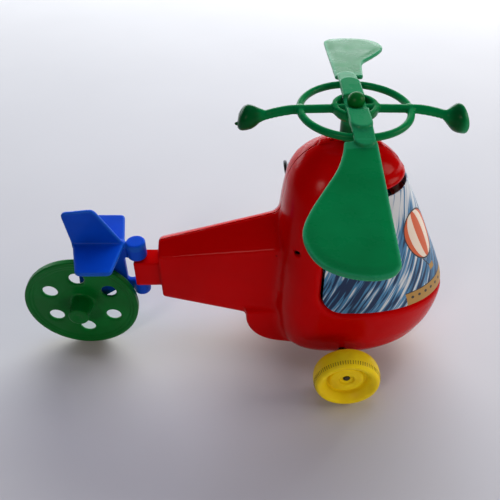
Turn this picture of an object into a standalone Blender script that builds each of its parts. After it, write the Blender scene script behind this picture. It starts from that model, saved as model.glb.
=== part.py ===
"""Clockwork toy helicopter with a spinning rotor and a steerable tail wheel.

Two moulded half shells hold a spring motor. Its drive arbor turns the front axle
through a spur pair and the rotor shaft through a crown wheel. The tail bracket
swivels on the boom's tongue and carries the tail wheel.

Metres. X runs from tail to nose, Y to port, Z up from the floor.
"""

import math

import bmesh
import bpy
from mathutils import Matrix, Vector

# Cabin: horizontal sections from belly to roof
CABIN_REAR_X = 0.0150
CABIN_LENGTH = 0.0605
CABIN_HALF_WIDTH = 0.0215
BELLY_Z = 0.0060
CABIN_HEIGHT = 0.0802
WALL = 0.0016
PARTING_GAP = 0.0002
# Each row: height, rear end, front end and half width, as shares of the cabin's sizes
CABIN_ROW_SHARES = (
    (0.000, 0.150, 0.757, 0.605),
    (0.012, 0.108, 0.831, 0.749),
    (0.044, 0.070, 0.893, 0.865),
    (0.112, 0.032, 0.955, 0.953),
    (0.200, 0.010, 0.992, 0.991),
    (0.274, 0.002, 1.000, 1.000),
    (0.324, 0.002, 0.995, 1.000),
    (0.424, 0.007, 0.945, 0.995),
    (0.549, 0.013, 0.869, 0.972),
    (0.673, 0.026, 0.792, 0.898),
    (0.773, 0.041, 0.727, 0.805),
    (0.860, 0.064, 0.674, 0.684),
    (0.916, 0.104, 0.617, 0.553),
    (0.960, 0.162, 0.550, 0.400),
    (0.988, 0.225, 0.483, 0.247),
    (1.000, 0.294, 0.402, 0.084),
)
WIDEST_LOW_SHARE = 0.443
WIDEST_TOP_SHARE = 0.350
FRONT_POWER = 2.0
REAR_POWER = 3.4
ROOF_POWER = 2.2
CABIN_SEGMENTS = 28
INSIDE_SEGMENTS = 16

# Windscreen opening, seen from the side, and the card behind it
SCREEN_REAR_X = 0.0298
SCREEN_BOTTOM_Z = 0.0314
SCREEN_TOP_Z = 0.0748
SCREEN_LOW_RADIUS = 0.0080
SCREEN_TOP_RADIUS = 0.0130
CARD_SUNK = 0.0004
CARD_THICKNESS = 0.0004
CARD_GAP = 0.0003
CARD_LEDGE = 0.0016

# Boom: flat sides up to a crease, then a low arch
BOOM_LENGTH = 0.0412
BOOM_ROOT_X = 0.0162
BOOM_ROOT_HALF_WIDTH = 0.0108
BOOM_ROOT_BOTTOM_Z = 0.0183
BOOM_ROOT_CREASE_Z = 0.0523
BOOM_ROOT_CROWN_Z = 0.0586
BOOM_TIP_HALF_WIDTH = 0.0060
BOOM_TIP_BOTTOM_Z = 0.0248
BOOM_TIP_CREASE_Z = 0.0445
BOOM_TIP_CROWN_Z = 0.0467
BOOM_INTO_CABIN = 0.0080
BOOM_CORNER = 0.0012

# Keel below the boom root
KEEL_REAR_X = 0.0054
KEEL_HALF_WIDTH = 0.0110
KEEL_RADIUS = 0.0140
KEEL_RAISE = 0.0004

# Tongue at the end of the boom, and the tail swivel
TONGUE_LENGTH = 0.0092
TONGUE_HALF_WIDTH = 0.0040
TONGUE_BOTTOM_Z = 0.0284
TONGUE_TOP_Z = 0.0390
SWIVEL_FROM_BOOM = 0.0080
SWIVEL_PIN_RADIUS = 0.0012
SWIVEL_PIN_DEPTH = 0.0030
RUNNING_GAP = 0.0003

# Tail bracket
LUG_RADIUS = 0.0034
UPPER_LUG_HEIGHT = 0.0067
LOWER_LUG_HEIGHT = 0.0056
SPINE_GAP = 0.0035
SPINE_THICKNESS = 0.0024
STABILISER_DROP = 0.0012
STABILISER_THICKNESS = 0.0016
STABILISER_ROOT_CHORD = 0.0180
STABILISER_TIP_LEAD_SPAN = 0.0156
STABILISER_TIP_TRAIL_SPAN = 0.0157
STABILISER_TIP_SWEEP = 0.0022
STABILISER_TIP_CHORD = 0.0117
FIN_THICKNESS = 0.0016
FIN_HEIGHT = 0.0148
FIN_SWEEP = 0.0085
FIN_TOP_CHORD = 0.0111

# Tail wheel
TAIL_WHEEL_RADIUS = 0.0204
TAIL_WHEEL_BEHIND_SWIVEL = 0.0219
TAIL_WHEEL_OFFSET = 0.0045
TAIL_RIM_WIDTH = 0.0028
TAIL_RIM_DEPTH = 0.0016
TAIL_WEB = 0.0016
TAIL_HOLE_RADIUS = 0.0027
TAIL_HOLE_CIRCLE = 0.0122
TAIL_HOLES = 6
TAIL_BOSS_RADIUS = 0.0036
TAIL_BOSS_REACH = 0.0075
TAIL_STUB_RADIUS = 0.0012

# Front wheels and axle
FRONT_WHEEL_RADIUS = 0.01145
FRONT_WHEEL_WIDTH = 0.0096
FRONT_TRACK = 0.0644
AXLE_X = 0.0394
AXLE_RADIUS = 0.0011
AXLE_HOLE_CLEARANCE = 0.0004
PRESS_GAP = 0.00012

# Rotor
MAST_X = 0.0371
RING_ABOVE_ROOF = 0.00965
RING_RADIUS = 0.0160
RING_ROD = 0.0011
CROSSBAR_HALF_SPAN = 0.0272
CROSSBAR_WIDTH = 0.0024
CROSSBAR_HEIGHT = 0.0020
CROSSBAR_DROOP = 0.0010
DROP_LENGTH = 0.0075
DROP_RADIUS = 0.0046
DROP_TILT = math.radians(14)
CUP_RADIUS = 0.00675
CUP_RISE = 0.0006
CUP_HEIGHT = 0.0026
SLEEVE_RADIUS = 0.0038
SHAFT_RADIUS = 0.0012
BAR_WIDTH = 0.0063
BAR_UPPER_REACH = 0.0144
BAR_LOWER_REACH = 0.0213
BAR_UPPER_THICKNESS = 0.0007
BAR_LOWER_THICKNESS = 0.0011
BLADE_LENGTH = 0.0647
BLADE_THICKNESS = 0.0013
BLADE_DROOP = math.radians(8)
BLADE_PITCH = math.radians(3)
BALL_RADIUS = 0.0024
BALL_SHANK_RADIUS = 0.0014

# Spring motor
MOTOR_HALF_SPACE = 0.0078
PLATE = 0.0008
ARBOR_RADIUS = 0.0010
BEARING_CLEARANCE = 0.00015
GEAR_MODULE = 0.0006
GREAT_TEETH = 30
INTERMEDIATE_PINION_TEETH = 10
INTERMEDIATE_TEETH = 32
DRIVE_PINION_TEETH = 10
DRIVE_TEETH = 36
AXLE_PINION_TEETH = 10
CROWN_TEETH = 20
MAST_PINION_TEETH = 10
WHEEL_WIDTH = 0.0010
PINION_WIDTH = 0.0020
CROWN_FACE = 0.0016
INTERMEDIATE_BEARING = math.radians(140)
WINDING_BEARING = math.radians(111.5)
PILLAR_RADIUS = 0.0012
REAR_TOP_PILLAR_X = 0.0228
REAR_TOP_PILLAR_Z = 0.0593
FRONT_TOP_PILLAR_X = 0.0443
FRONT_TOP_PILLAR_Z = 0.0480
FRONT_LOW_PILLAR_X = 0.0508
FRONT_LOW_PILLAR_Z = 0.0240
REAR_LOW_PILLAR_X = 0.0165
REAR_LOW_PILLAR_Z = 0.0150
BRIDGE_Z = 0.0503
BRIDGE_THICKNESS = 0.0010
BRIDGE_LENGTH = 0.0080
SPRING_WIDTH = 0.0088
SPRING_STRIP = 0.00035
SPRING_RADIUS = 0.0088
SPRING_TURNS = 4
RATCHET_TEETH = 12
RATCHET_RADIUS = 0.0046
KEY_HALF_SPAN = 0.0145
KEY_WING_WIDTH = 0.0110
KEY_SHEET = 0.0011
KEY_SLEEVE_RADIUS = 0.0024
KEY_SLEEVE_LENGTH = 0.0078
KEY_TILT = math.radians(14)
KEY_HOLE_CLEARANCE = 0.0006
SIDE_HOLE_X = 0.0214
SIDE_HOLE_Z = 0.0546
SIDE_HOLE_RADIUS = 0.0009
BOSS_RADIUS = 0.0024
PEG_RADIUS = 0.0012
PEG_X = -0.0080
PEG_Z = 0.0360

# Places that follow from the sizes above
AXLE_Z = FRONT_WHEEL_RADIUS
ROOF_Z = BELLY_Z + CABIN_HEIGHT
RING_Z = ROOF_Z + RING_ABOVE_ROOF
BOOM_TIP_X = BOOM_ROOT_X - BOOM_LENGTH
SWIVEL_X = BOOM_TIP_X - SWIVEL_FROM_BOOM
TONGUE_END_X = BOOM_TIP_X - TONGUE_LENGTH
TAIL_AXLE_X = SWIVEL_X - TAIL_WHEEL_BEHIND_SWIVEL
TAIL_AXLE_Z = TAIL_WHEEL_RADIUS
SPINE_FRONT_X = TONGUE_END_X - SPINE_GAP
STABILISER_Z = TONGUE_TOP_Z + RUNNING_GAP + UPPER_LUG_HEIGHT - STABILISER_DROP
DRIVE_X = MAST_X
DRIVE_CENTRES = (DRIVE_TEETH + AXLE_PINION_TEETH) * GEAR_MODULE / 2
DRIVE_Z = AXLE_Z + math.sqrt(DRIVE_CENTRES**2 - (AXLE_X - DRIVE_X) ** 2)
GREAT_CENTRES = (GREAT_TEETH + INTERMEDIATE_PINION_TEETH) * GEAR_MODULE / 2
INTERMEDIATE_CENTRES = (INTERMEDIATE_TEETH + DRIVE_PINION_TEETH) * GEAR_MODULE / 2
INTERMEDIATE_X = DRIVE_X + INTERMEDIATE_CENTRES * math.cos(INTERMEDIATE_BEARING)
INTERMEDIATE_Z = DRIVE_Z + INTERMEDIATE_CENTRES * math.sin(INTERMEDIATE_BEARING)
WINDING_X = INTERMEDIATE_X + GREAT_CENTRES * math.cos(WINDING_BEARING)
WINDING_Z = INTERMEDIATE_Z + GREAT_CENTRES * math.sin(WINDING_BEARING)
CROWN_RADIUS = CROWN_TEETH * GEAR_MODULE / 2
MAST_PINION_RADIUS = MAST_PINION_TEETH * GEAR_MODULE / 2
MAST_PINION_Z = DRIVE_Z + CROWN_RADIUS
CUP_TOP_Z = RING_Z + CUP_RISE
BAR_Z = CUP_TOP_Z + RUNNING_GAP
PILLARS = (
    (REAR_TOP_PILLAR_X, REAR_TOP_PILLAR_Z),
    (FRONT_TOP_PILLAR_X, FRONT_TOP_PILLAR_Z),
    (FRONT_LOW_PILLAR_X, FRONT_LOW_PILLAR_Z),
    (REAR_LOW_PILLAR_X, REAR_LOW_PILLAR_Z),
)
BAR_TOP_Z = BAR_Z + BAR_LOWER_THICKNESS + BAR_UPPER_THICKNESS
BALL_Z = BAR_TOP_Z + 0.1 * BALL_RADIUS

ALONG_Y = (math.pi / 2, 0, 0)

RED = ("red_plastic", (0.42, 0.004, 0.006), 0.28, 0.0)
GREEN = ("green_plastic", (0.008, 0.19, 0.07), 0.40, 0.0)
BLUE = ("blue_plastic", (0.006, 0.075, 0.42), 0.35, 0.0)
YELLOW = ("yellow_plastic", (0.86, 0.68, 0.03), 0.45, 0.0)
STEEL = ("bright_steel", (0.50, 0.49, 0.47), 0.35, 1.0)
DARK_STEEL = ("dark_steel", (0.16, 0.15, 0.14), 0.42, 1.0)
BRASS = ("gear_brass", (0.62, 0.44, 0.16), 0.35, 1.0)
CARD = ("printed_card", (0.25, 0.47, 0.66), 0.50, 0.0)


def clear_scene():
    for obj in list(bpy.data.objects):
        bpy.data.objects.remove(obj, do_unlink=True)


def new_collection(name):
    collection = bpy.data.collections.new(name)
    bpy.context.scene.collection.children.link(collection)
    return collection


def material(finish):
    name, colour, roughness, metallic = finish
    found = bpy.data.materials.get(name)
    if found:
        return found
    made = bpy.data.materials.new(name)
    made.use_nodes = True
    shader = made.node_tree.nodes["Principled BSDF"]
    shader.inputs["Base Color"].default_value = (*colour, 1.0)
    shader.inputs["Roughness"].default_value = roughness
    shader.inputs["Metallic"].default_value = metallic
    made.diffuse_color = (*colour, 1.0)
    return made


clear_scene()
PARTS = new_collection("toy_helicopter")
CUTTERS = new_collection("toy_helicopter_cutters")
CUTTERS.hide_render = True


def part(name, mesh, finish, at=(0, 0, 0), turn=(0, 0, 0)):
    """A visible piece with its own finish, its origin at the place given."""
    obj = bpy.data.objects.new(name, mesh)
    mesh.materials.append(material(finish))
    obj.location = at
    obj.rotation_euler = turn
    PARTS.objects.link(obj)
    return obj


def tool(name, mesh, at=(0, 0, 0), turn=(0, 0, 0)):
    """A hidden shape for joining to a piece or cutting one."""
    obj = bpy.data.objects.new(name, mesh)
    obj.location = at
    obj.rotation_euler = turn
    obj.hide_render = True
    obj.display_type = "WIRE"
    CUTTERS.objects.link(obj)
    return obj


def combine(obj, operation, *others):
    for other in others:
        change = obj.modifiers.new(other.name, "BOOLEAN")
        change.operation = operation
        change.solver = "EXACT"
        change.object = other


def join(obj, *others):
    combine(obj, "UNION", *others)


def cut(obj, *others):
    combine(obj, "DIFFERENCE", *others)


def common(obj, *others):
    combine(obj, "INTERSECT", *others)


def mesh_of(name, bm):
    bmesh.ops.recalc_face_normals(bm, faces=bm.faces)
    mesh = bpy.data.meshes.new(name)
    bm.to_mesh(mesh)
    bm.free()
    return mesh


def loft(name, rings):
    """A closed skin through rings of equal count, with flat ends."""
    bm = bmesh.new()
    loops = [[bm.verts.new(point) for point in ring] for ring in rings]
    count = len(rings[0])
    for low, high in zip(loops, loops[1:]):
        for i in range(count):
            j = (i + 1) % count
            bm.faces.new((low[i], low[j], high[j], high[i]))
    bm.faces.new(list(reversed(loops[0])))
    bm.faces.new(loops[-1])
    return mesh_of(name, bm)


def lathe(name, profile, steps, closed=False):
    """A profile of (radius, height) turned about Z."""
    bm = bmesh.new()
    verts = [bm.verts.new((radius, 0, height)) for radius, height in profile]
    edges = [bm.edges.new(pair) for pair in zip(verts, verts[1:])]
    if closed:
        edges.append(bm.edges.new((verts[-1], verts[0])))
    bmesh.ops.spin(
        bm,
        geom=verts + edges,
        cent=(0, 0, 0),
        axis=(0, 0, 1),
        angle=2 * math.pi,
        steps=steps,
        use_merge=True,
    )
    bmesh.ops.remove_doubles(bm, verts=bm.verts, dist=1e-7)
    return mesh_of(name, bm)


def rod(name, radius, low, high, steps=12):
    """A plain cylinder about Z between two heights."""
    return lathe(name, [(0, high), (radius, high), (radius, low), (0, low)], steps)


def block(name, size, at=(0, 0, 0)):
    bm = bmesh.new()
    bmesh.ops.create_cube(bm, size=1.0)
    bmesh.ops.scale(bm, vec=size, verts=bm.verts)
    bmesh.ops.translate(bm, vec=at, verts=bm.verts)
    return mesh_of(name, bm)


def sheet(name, loops, thickness):
    """Flat outlines filled and thickened about their plane; inner loops are holes."""
    data = bpy.data.curves.new(name, "CURVE")
    data.dimensions = "2D"
    data.fill_mode = "BOTH"
    data.extrude = thickness / 2
    for loop in loops:
        spline = data.splines.new("POLY")
        spline.points.add(len(loop) - 1)
        for point, (x, y) in zip(spline.points, loop):
            point.co = (x, y, 0, 1)
        spline.use_cyclic_u = True
    guide = bpy.data.objects.new(name, data)
    PARTS.objects.link(guide)
    bpy.context.view_layer.update()
    mesh = bpy.data.meshes.new_from_object(guide.evaluated_get(bpy.context.evaluated_depsgraph_get()))
    bpy.data.objects.remove(guide)
    bpy.data.curves.remove(data)
    bm = bmesh.new()
    bm.from_mesh(mesh)
    bpy.data.meshes.remove(mesh)
    bmesh.ops.remove_doubles(bm, verts=bm.verts, dist=1e-7)
    return mesh_of(name, bm)


def circle(radius, count, centre=(0, 0), start=0.0):
    return [
        (
            centre[0] + radius * math.cos(start + 2 * math.pi * i / count),
            centre[1] + radius * math.sin(start + 2 * math.pi * i / count),
        )
        for i in range(count)
    ]


def arc(centre, radius, first, last, count):
    """Points on an arc, angles in degrees."""
    return [
        (
            centre[0] + radius * math.cos(math.radians(first + (last - first) * i / count)),
            centre[1] + radius * math.sin(math.radians(first + (last - first) * i / count)),
        )
        for i in range(count + 1)
    ]


def hull(points):
    """The convex outline of flat points, anticlockwise."""
    ordered = sorted(set(points))

    def half(run):
        side = []
        for p in run:
            while len(side) > 1 and (
                (side[-1][0] - side[-2][0]) * (p[1] - side[-2][1])
                - (side[-1][1] - side[-2][1]) * (p[0] - side[-2][0])
            ) <= 1e-12:
                side.pop()
            side.append(p)
        return side[:-1]

    return half(ordered) + half(reversed(ordered))


def smooth_path(points, per_span):
    """A curve through open points."""
    path = []
    for i in range(len(points) - 1):
        before = Vector(points[max(i - 1, 0)])
        a = Vector(points[i])
        b = Vector(points[i + 1])
        after = Vector(points[min(i + 2, len(points) - 1)])
        for k in range(per_span):
            t = k / per_span
            path.append(
                0.5
                * (
                    2 * a
                    + (b - before) * t
                    + (2 * before - 5 * a + 4 * b - after) * t**2
                    + (3 * a - before - 3 * b + after) * t**3
                )
            )
    path.append(Vector(points[-1]))
    return [(p.x, p.y) for p in path]


def cabin_row(height):
    """Rear end, front end and half width of the cabin at a share of its height."""
    for low, high in zip(CABIN_ROW_SHARES, CABIN_ROW_SHARES[1:]):
        if height <= high[0]:
            t = (height - low[0]) / (high[0] - low[0])
            return [a + (b - a) * t for a, b in zip(low[1:], high[1:])]
    return list(CABIN_ROW_SHARES[-1][1:])


def above_rim(height):
    """Share of the way from the windscreen's lower rim to the roof."""
    low = CABIN_ROW_SHARES[6][0]
    return max(0.0, (height - low) / (1 - low))


def widest_at(height):
    return WIDEST_LOW_SHARE + (WIDEST_TOP_SHARE - WIDEST_LOW_SHARE) * above_rim(height)


def rear_power(height):
    """The rear corners are square low down and round towards the roof."""
    return REAR_POWER + (ROOF_POWER - REAR_POWER) * above_rim(height) ** 2


def cabin_ring(height, segments):
    rear, front, width = cabin_row(height)
    middle = widest_at(height)
    ring = []
    for i in range(segments):
        angle = 2 * math.pi * i / segments
        c, s = math.cos(angle), math.sin(angle)
        power = 2 / (FRONT_POWER if c > 0 else rear_power(height))
        reach = front - middle if c > 0 else middle - rear
        x = middle + math.copysign(abs(c) ** power, c) * reach
        y = math.copysign(abs(s) ** power, s) * width
        ring.append(
            (
                CABIN_REAR_X + x * CABIN_LENGTH,
                y * CABIN_HALF_WIDTH,
                BELLY_Z + height * CABIN_HEIGHT,
            )
        )
    return ring


def cabin_mesh(name, inset, segments=CABIN_SEGMENTS):
    """The cabin's skin, taken in by a wall thickness on each side."""
    centre = Vector((CABIN_REAR_X + CABIN_LENGTH / 2, 0, BELLY_Z + CABIN_HEIGHT / 2))
    shrink = Vector(
        (
            1 - 2 * inset / CABIN_LENGTH,
            1 - inset / CABIN_HALF_WIDTH,
            1 - 2 * inset / CABIN_HEIGHT,
        )
    )
    rings = []
    for row in CABIN_ROW_SHARES:
        ring = [Vector(point) - centre for point in cabin_ring(row[0], segments)]
        rings.append([centre + Vector(a * b for a, b in zip(p, shrink)) for p in ring])
    return loft(name, rings)


def cabin_side(x, z):
    """Half width of the cabin's outside at a place on its flank."""
    height = (z - BELLY_Z) / CABIN_HEIGHT
    rear, front, width = cabin_row(height)
    middle = widest_at(height)
    along = (x - CABIN_REAR_X) / CABIN_LENGTH - middle
    reach = front - middle if along > 0 else middle - rear
    power = FRONT_POWER if along > 0 else rear_power(height)
    share = min(abs(along) / reach, 1.0)
    return CABIN_HALF_WIDTH * width * (1 - share**power) ** (1 / power)


def boom_sizes(x):
    t = (x - BOOM_TIP_X) / BOOM_LENGTH
    pairs = (
        (BOOM_TIP_HALF_WIDTH, BOOM_ROOT_HALF_WIDTH),
        (BOOM_TIP_BOTTOM_Z, BOOM_ROOT_BOTTOM_Z),
        (BOOM_TIP_CREASE_Z, BOOM_ROOT_CREASE_Z),
        (BOOM_TIP_CROWN_Z, BOOM_ROOT_CROWN_Z),
    )
    return [tip + (root - tip) * t for tip, root in pairs]


def boom_ring(x, inset):
    half, bottom, crease, crown = boom_sizes(x)
    half -= inset
    bottom += inset
    crease -= 0.4 * inset
    crown -= inset
    ring = [
        (x, -half + BOOM_CORNER, bottom),
        (x, half - BOOM_CORNER, bottom),
        (x, half, bottom + BOOM_CORNER),
    ]
    for k in range(13):
        y = half * (1 - k / 6)
        ring.append((x, y, crease + (crown - crease) * (1 - (y / half) ** 2)))
    ring.append((x, -half, bottom + BOOM_CORNER))
    return ring


def boom_mesh(name, inset):
    end = BOOM_ROOT_X + BOOM_INTO_CABIN
    return loft(name, [boom_ring(BOOM_TIP_X + inset, inset), boom_ring(end, inset)])


def keel_mesh(name, inset):
    """A narrow box under the boom root with a rounded lower rear edge."""
    rear = KEEL_REAR_X + inset
    low = BELLY_Z + KEEL_RAISE + inset
    high = BOOM_ROOT_BOTTOM_Z + BOOM_CORNER + 0.003
    front = AXLE_X
    radius = KEEL_RADIUS - inset
    half = KEEL_HALF_WIDTH - inset
    outline = arc((rear + radius, low + radius), radius, 180, 270, 8)
    outline = [(rear, high)] + outline + [(front, low), (front, high)]
    corner = BOOM_CORNER
    middle = Vector(((rear + front) / 2, (low + high) / 2))
    rings = []
    for y, shrink in ((-half, corner), (-half + corner, 0), (half - corner, 0), (half, corner)):
        sx = 1 - 2 * shrink / (front - rear)
        sz = 1 - 2 * shrink / (high - low)
        rings.append(
            [(middle.x + (x - middle.x) * sx, y, middle.y + (z - middle.y) * sz) for x, z in outline]
        )
    return loft(name, rings)


def screen_outline(grow):
    """The windscreen opening from the side, open towards the nose."""
    rear = SCREEN_REAR_X - grow
    low = SCREEN_BOTTOM_Z - grow
    high = SCREEN_TOP_Z + grow
    past_nose = CABIN_REAR_X + 1.2 * CABIN_LENGTH
    low_radius = SCREEN_LOW_RADIUS
    top_radius = SCREEN_TOP_RADIUS
    outline = [(past_nose, low)]
    outline += reversed(arc((rear + low_radius, low + low_radius), low_radius, 180, 270, 6))
    outline += reversed(arc((rear + top_radius, high - top_radius), top_radius, 90, 180, 8))
    outline.append((past_nose, high))
    return outline


def side_prism(name, outline):
    """A hidden prism across the body with a side-view outline."""
    return tool(name, sheet(name, [outline], 4 * CABIN_HALF_WIDTH), turn=ALONG_Y)


def gear_outline(teeth, module, start):
    """Straight-flanked teeth, the first one centred on the start angle."""
    pitch = 2 * math.pi / teeth
    radius = teeth * module / 2
    tip = radius + 0.9 * module
    root = radius - 1.15 * module
    outline = []
    for i in range(teeth):
        middle = start + i * pitch
        for r, share in ((root, -0.33), (tip, -0.10), (tip, 0.10), (root, 0.33)):
            angle = middle + share * pitch
            outline.append((r * math.cos(angle), r * math.sin(angle)))
    return outline


def gear_mesh(name, teeth, width, start, bore, windows=0):
    """A spur wheel with a bore and, on the larger ones, round windows in its web."""
    loops = [gear_outline(teeth, GEAR_MODULE, start), circle(bore, 12)]
    root = teeth * GEAR_MODULE / 2 - 1.15 * GEAR_MODULE
    for i in range(windows):
        angle = start + 2 * math.pi * i / windows
        middle = (0.60 * root * math.cos(angle), 0.60 * root * math.sin(angle))
        loops.append(circle(0.20 * root, 6, middle))
    return sheet(name, loops, width)


def direction(a, b):
    return math.atan2(b[1] - a[1], b[0] - a[0])


def crown_mesh(name, bore):
    """A disc with radial teeth standing on its face, towards -Z."""
    pitch = 2 * math.pi / CROWN_TEETH
    tip = -0.9 * GEAR_MODULE
    root = 1.15 * GEAR_MODULE
    back = root + 0.0008
    inner = CROWN_RADIUS - CROWN_FACE / 2
    outer = CROWN_RADIUS + CROWN_FACE / 2
    ledge = 0.00005
    rings = []
    for i in range(CROWN_TEETH):
        middle = math.pi / 2 + pitch / 2 + i * pitch
        for share, top in ((-0.33, root - ledge), (-0.10, tip), (0.10, tip), (0.33, root - ledge)):
            c, s = math.cos(middle + share * pitch), math.sin(middle + share * pitch)
            section = ((bore, back), (outer, back), (outer, top), (inner, top), (inner, root), (bore, root))
            rings.append([(r * c, r * s, z) for r, z in section])
    bm = bmesh.new()
    loops = [[bm.verts.new(p) for p in ring] for ring in rings]
    for ring, after in zip(loops, loops[1:] + loops[:1]):
        for i in range(6):
            j = (i + 1) % 6
            bm.faces.new((ring[i], ring[j], after[j], after[i]))
    return mesh_of(name, bm)


def spring_mesh(name, inner):
    """A flat spiral strip from the arbor outwards."""
    per_turn = 11
    count = SPRING_TURNS * per_turn
    half = SPRING_STRIP / 2
    near, far = [], []
    for i in range(count + 1):
        angle = 2 * math.pi * i / per_turn
        radius = inner + half + (SPRING_RADIUS - inner - SPRING_STRIP) * i / count
        c, s = math.cos(angle), math.sin(angle)
        near.append(((radius - half) * c, (radius - half) * s))
        far.append(((radius + half) * c, (radius + half) * s))
    return sheet(name, [far + near[::-1]], SPRING_WIDTH)


def half_space(name, side):
    """A box that holds one side of the parting plane."""
    depth = 2 * CABIN_HALF_WIDTH
    middle = side * (PARTING_GAP / 2 + depth / 2)
    return tool(name, block(name, (8 * CABIN_LENGTH, depth, 8 * CABIN_HEIGHT), (0, middle, 0)))


def across(name, radius, x, z, low_y, high_y, steps=12):
    """A hidden cylinder along Y."""
    return tool(name, rod(name, radius, -high_y, -low_y, steps), (x, 0, z), ALONG_Y)


def upright(name, radius, x, low, high, steps=12):
    return tool(name, rod(name, radius, low, high, steps), (x, 0, 0))


def make_body():
    boom = tool("boom_outside", boom_mesh("boom_outside", 0))
    keel = tool("keel_outside", keel_mesh("keel_outside", 0))
    hollows = [
        tool("cabin_inside", cabin_mesh("cabin_inside", WALL, INSIDE_SEGMENTS)),
        tool("boom_inside", boom_mesh("boom_inside", WALL)),
        tool("keel_inside", keel_mesh("keel_inside", WALL)),
    ]
    overlap = 0.0006
    length = TONGUE_LENGTH + overlap
    tongue_size = (length, 2 * TONGUE_HALF_WIDTH, TONGUE_TOP_Z - TONGUE_BOTTOM_Z)
    tongue_at = (BOOM_TIP_X + overlap - length / 2, 0, (TONGUE_TOP_Z + TONGUE_BOTTOM_Z) / 2)
    tongue = tool("tongue", block("tongue", tongue_size, tongue_at))
    screen = side_prism("screen_opening", screen_outline(-CARD_LEDGE))
    rebate = side_prism("screen_rebate", screen_outline(0))
    seat = CARD_SUNK + CARD_THICKNESS + CARD_GAP
    cut(rebate, tool("rebate_floor", cabin_mesh("rebate_floor", seat)))
    mast_hole = upright("mast_hole", SHAFT_RADIUS + RUNNING_GAP, MAST_X, ROOF_Z - 0.01, ROOF_Z + 0.01)
    pin_hole = SWIVEL_PIN_RADIUS + RUNNING_GAP
    pin_deep = SWIVEL_PIN_DEPTH + RUNNING_GAP
    upper_ends = (TONGUE_TOP_Z - pin_deep, TONGUE_TOP_Z + 0.002)
    lower_ends = (TONGUE_BOTTOM_Z - 0.002, TONGUE_BOTTOM_Z + pin_deep)
    upper_socket = upright("upper_socket", pin_hole, SWIVEL_X, *upper_ends)
    lower_socket = upright("lower_socket", pin_hole, SWIVEL_X, *lower_ends)
    past_side = 2 * CABIN_HALF_WIDTH
    axle_radius = AXLE_RADIUS + AXLE_HOLE_CLEARANCE
    axle_hole = across("axle_hole", axle_radius, AXLE_X, AXLE_Z, -past_side, past_side)
    key_radius = ARBOR_RADIUS + KEY_HOLE_CLEARANCE
    key_hole = across("key_hole", key_radius, WINDING_X, WINDING_Z, 0, past_side)
    side_hole = across("side_hole", SIDE_HOLE_RADIUS, SIDE_HOLE_X, SIDE_HOLE_Z, -past_side, 0)
    plate_face = MOTOR_HALF_SPACE + PLATE + RUNNING_GAP
    peg_half = boom_sizes(PEG_X)[0]
    for side, name in ((-1, "body_shell_right"), (1, "body_shell_left")):
        shell = part(name, cabin_mesh(name, 0), RED)
        join(shell, boom, keel)
        cut(shell, *hollows)
        join(shell, tongue)
        common(shell, half_space(name + "_half", side))
        cut(shell, screen, rebate, mast_hole, upper_socket, lower_socket, axle_hole)
        cut(shell, key_hole if side > 0 else side_hole)
        for i in (0, 2):
            x, z = PILLARS[i]
            wall = cabin_side(x, z) - 0.4 * WALL
            ends = sorted((side * plate_face, side * wall))
            join(shell, across(f"{name}_boss_{i}", BOSS_RADIUS, x, z, *ends, steps=12))
        wall = peg_half - 0.4 * WALL
        if side < 0:
            join(shell, across("peg_boss", 2 * PEG_RADIUS, PEG_X, PEG_Z, -wall, -PARTING_GAP / 2, 12))
            reach = wall - WALL
            cut(shell, across("peg_socket", PEG_RADIUS + RUNNING_GAP, PEG_X, PEG_Z, -reach, 0.001, 12))
        else:
            join(shell, across("peg", PEG_RADIUS, PEG_X, PEG_Z, -0.6 * wall, wall, 12))


def make_card():
    """A bent card that rests on the ledge round the windscreen opening."""
    card = part("windscreen_card", cabin_mesh("windscreen_card", CARD_SUNK), CARD)
    cut(card, tool("card_inside", cabin_mesh("card_inside", CARD_SUNK + CARD_THICKNESS)))
    common(card, side_prism("card_trim", screen_outline(-CARD_GAP)))


def drop_profile():
    """Tip weight: a flared cone with a blunt round end, neck at the top."""
    shares = (
        (0.00, 0.28),
        (0.12, 0.40),
        (0.30, 0.61),
        (0.52, 0.84),
        (0.70, 0.97),
        (0.82, 1.00),
        (0.92, 0.90),
        (0.98, 0.62),
    )
    turned = [(share * DROP_RADIUS, -along * DROP_LENGTH) for along, share in shares]
    return [(0, 0)] + turned + [(0, -DROP_LENGTH)]


def crossbar_mesh(name):
    """A bar along X, chamfered on top, that sinks towards its ends."""
    rings = []
    half = CROSSBAR_WIDTH / 2
    for share in (-1.0, -0.85, -0.70, -0.50, 0.50, 0.70, 0.85, 1.0):
        x = share * CROSSBAR_HALF_SPAN
        sink = CROSSBAR_DROOP * max(0.0, (abs(share) - 0.5) / 0.5) ** 2
        taper = 1.0 if abs(share) < 0.6 else 0.85
        top = CROSSBAR_HEIGHT / 2 - sink
        low = -CROSSBAR_HEIGHT / 2 - sink
        rings.append(
            [
                (x, -half * taper, low),
                (x, half * taper, low),
                (x, half * taper, top - 0.35 * CROSSBAR_HEIGHT),
                (x, 0.4 * half, top),
                (x, -0.4 * half, top),
                (x, -half * taper, top - 0.35 * CROSSBAR_HEIGHT),
            ]
        )
    return loft(name, rings)


def hoop_mesh(name, rod_radius):
    section = circle(rod_radius, 8, (RING_RADIUS, 0), math.pi / 8)
    return lathe(name, section[::-1], 28, closed=True)


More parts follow.
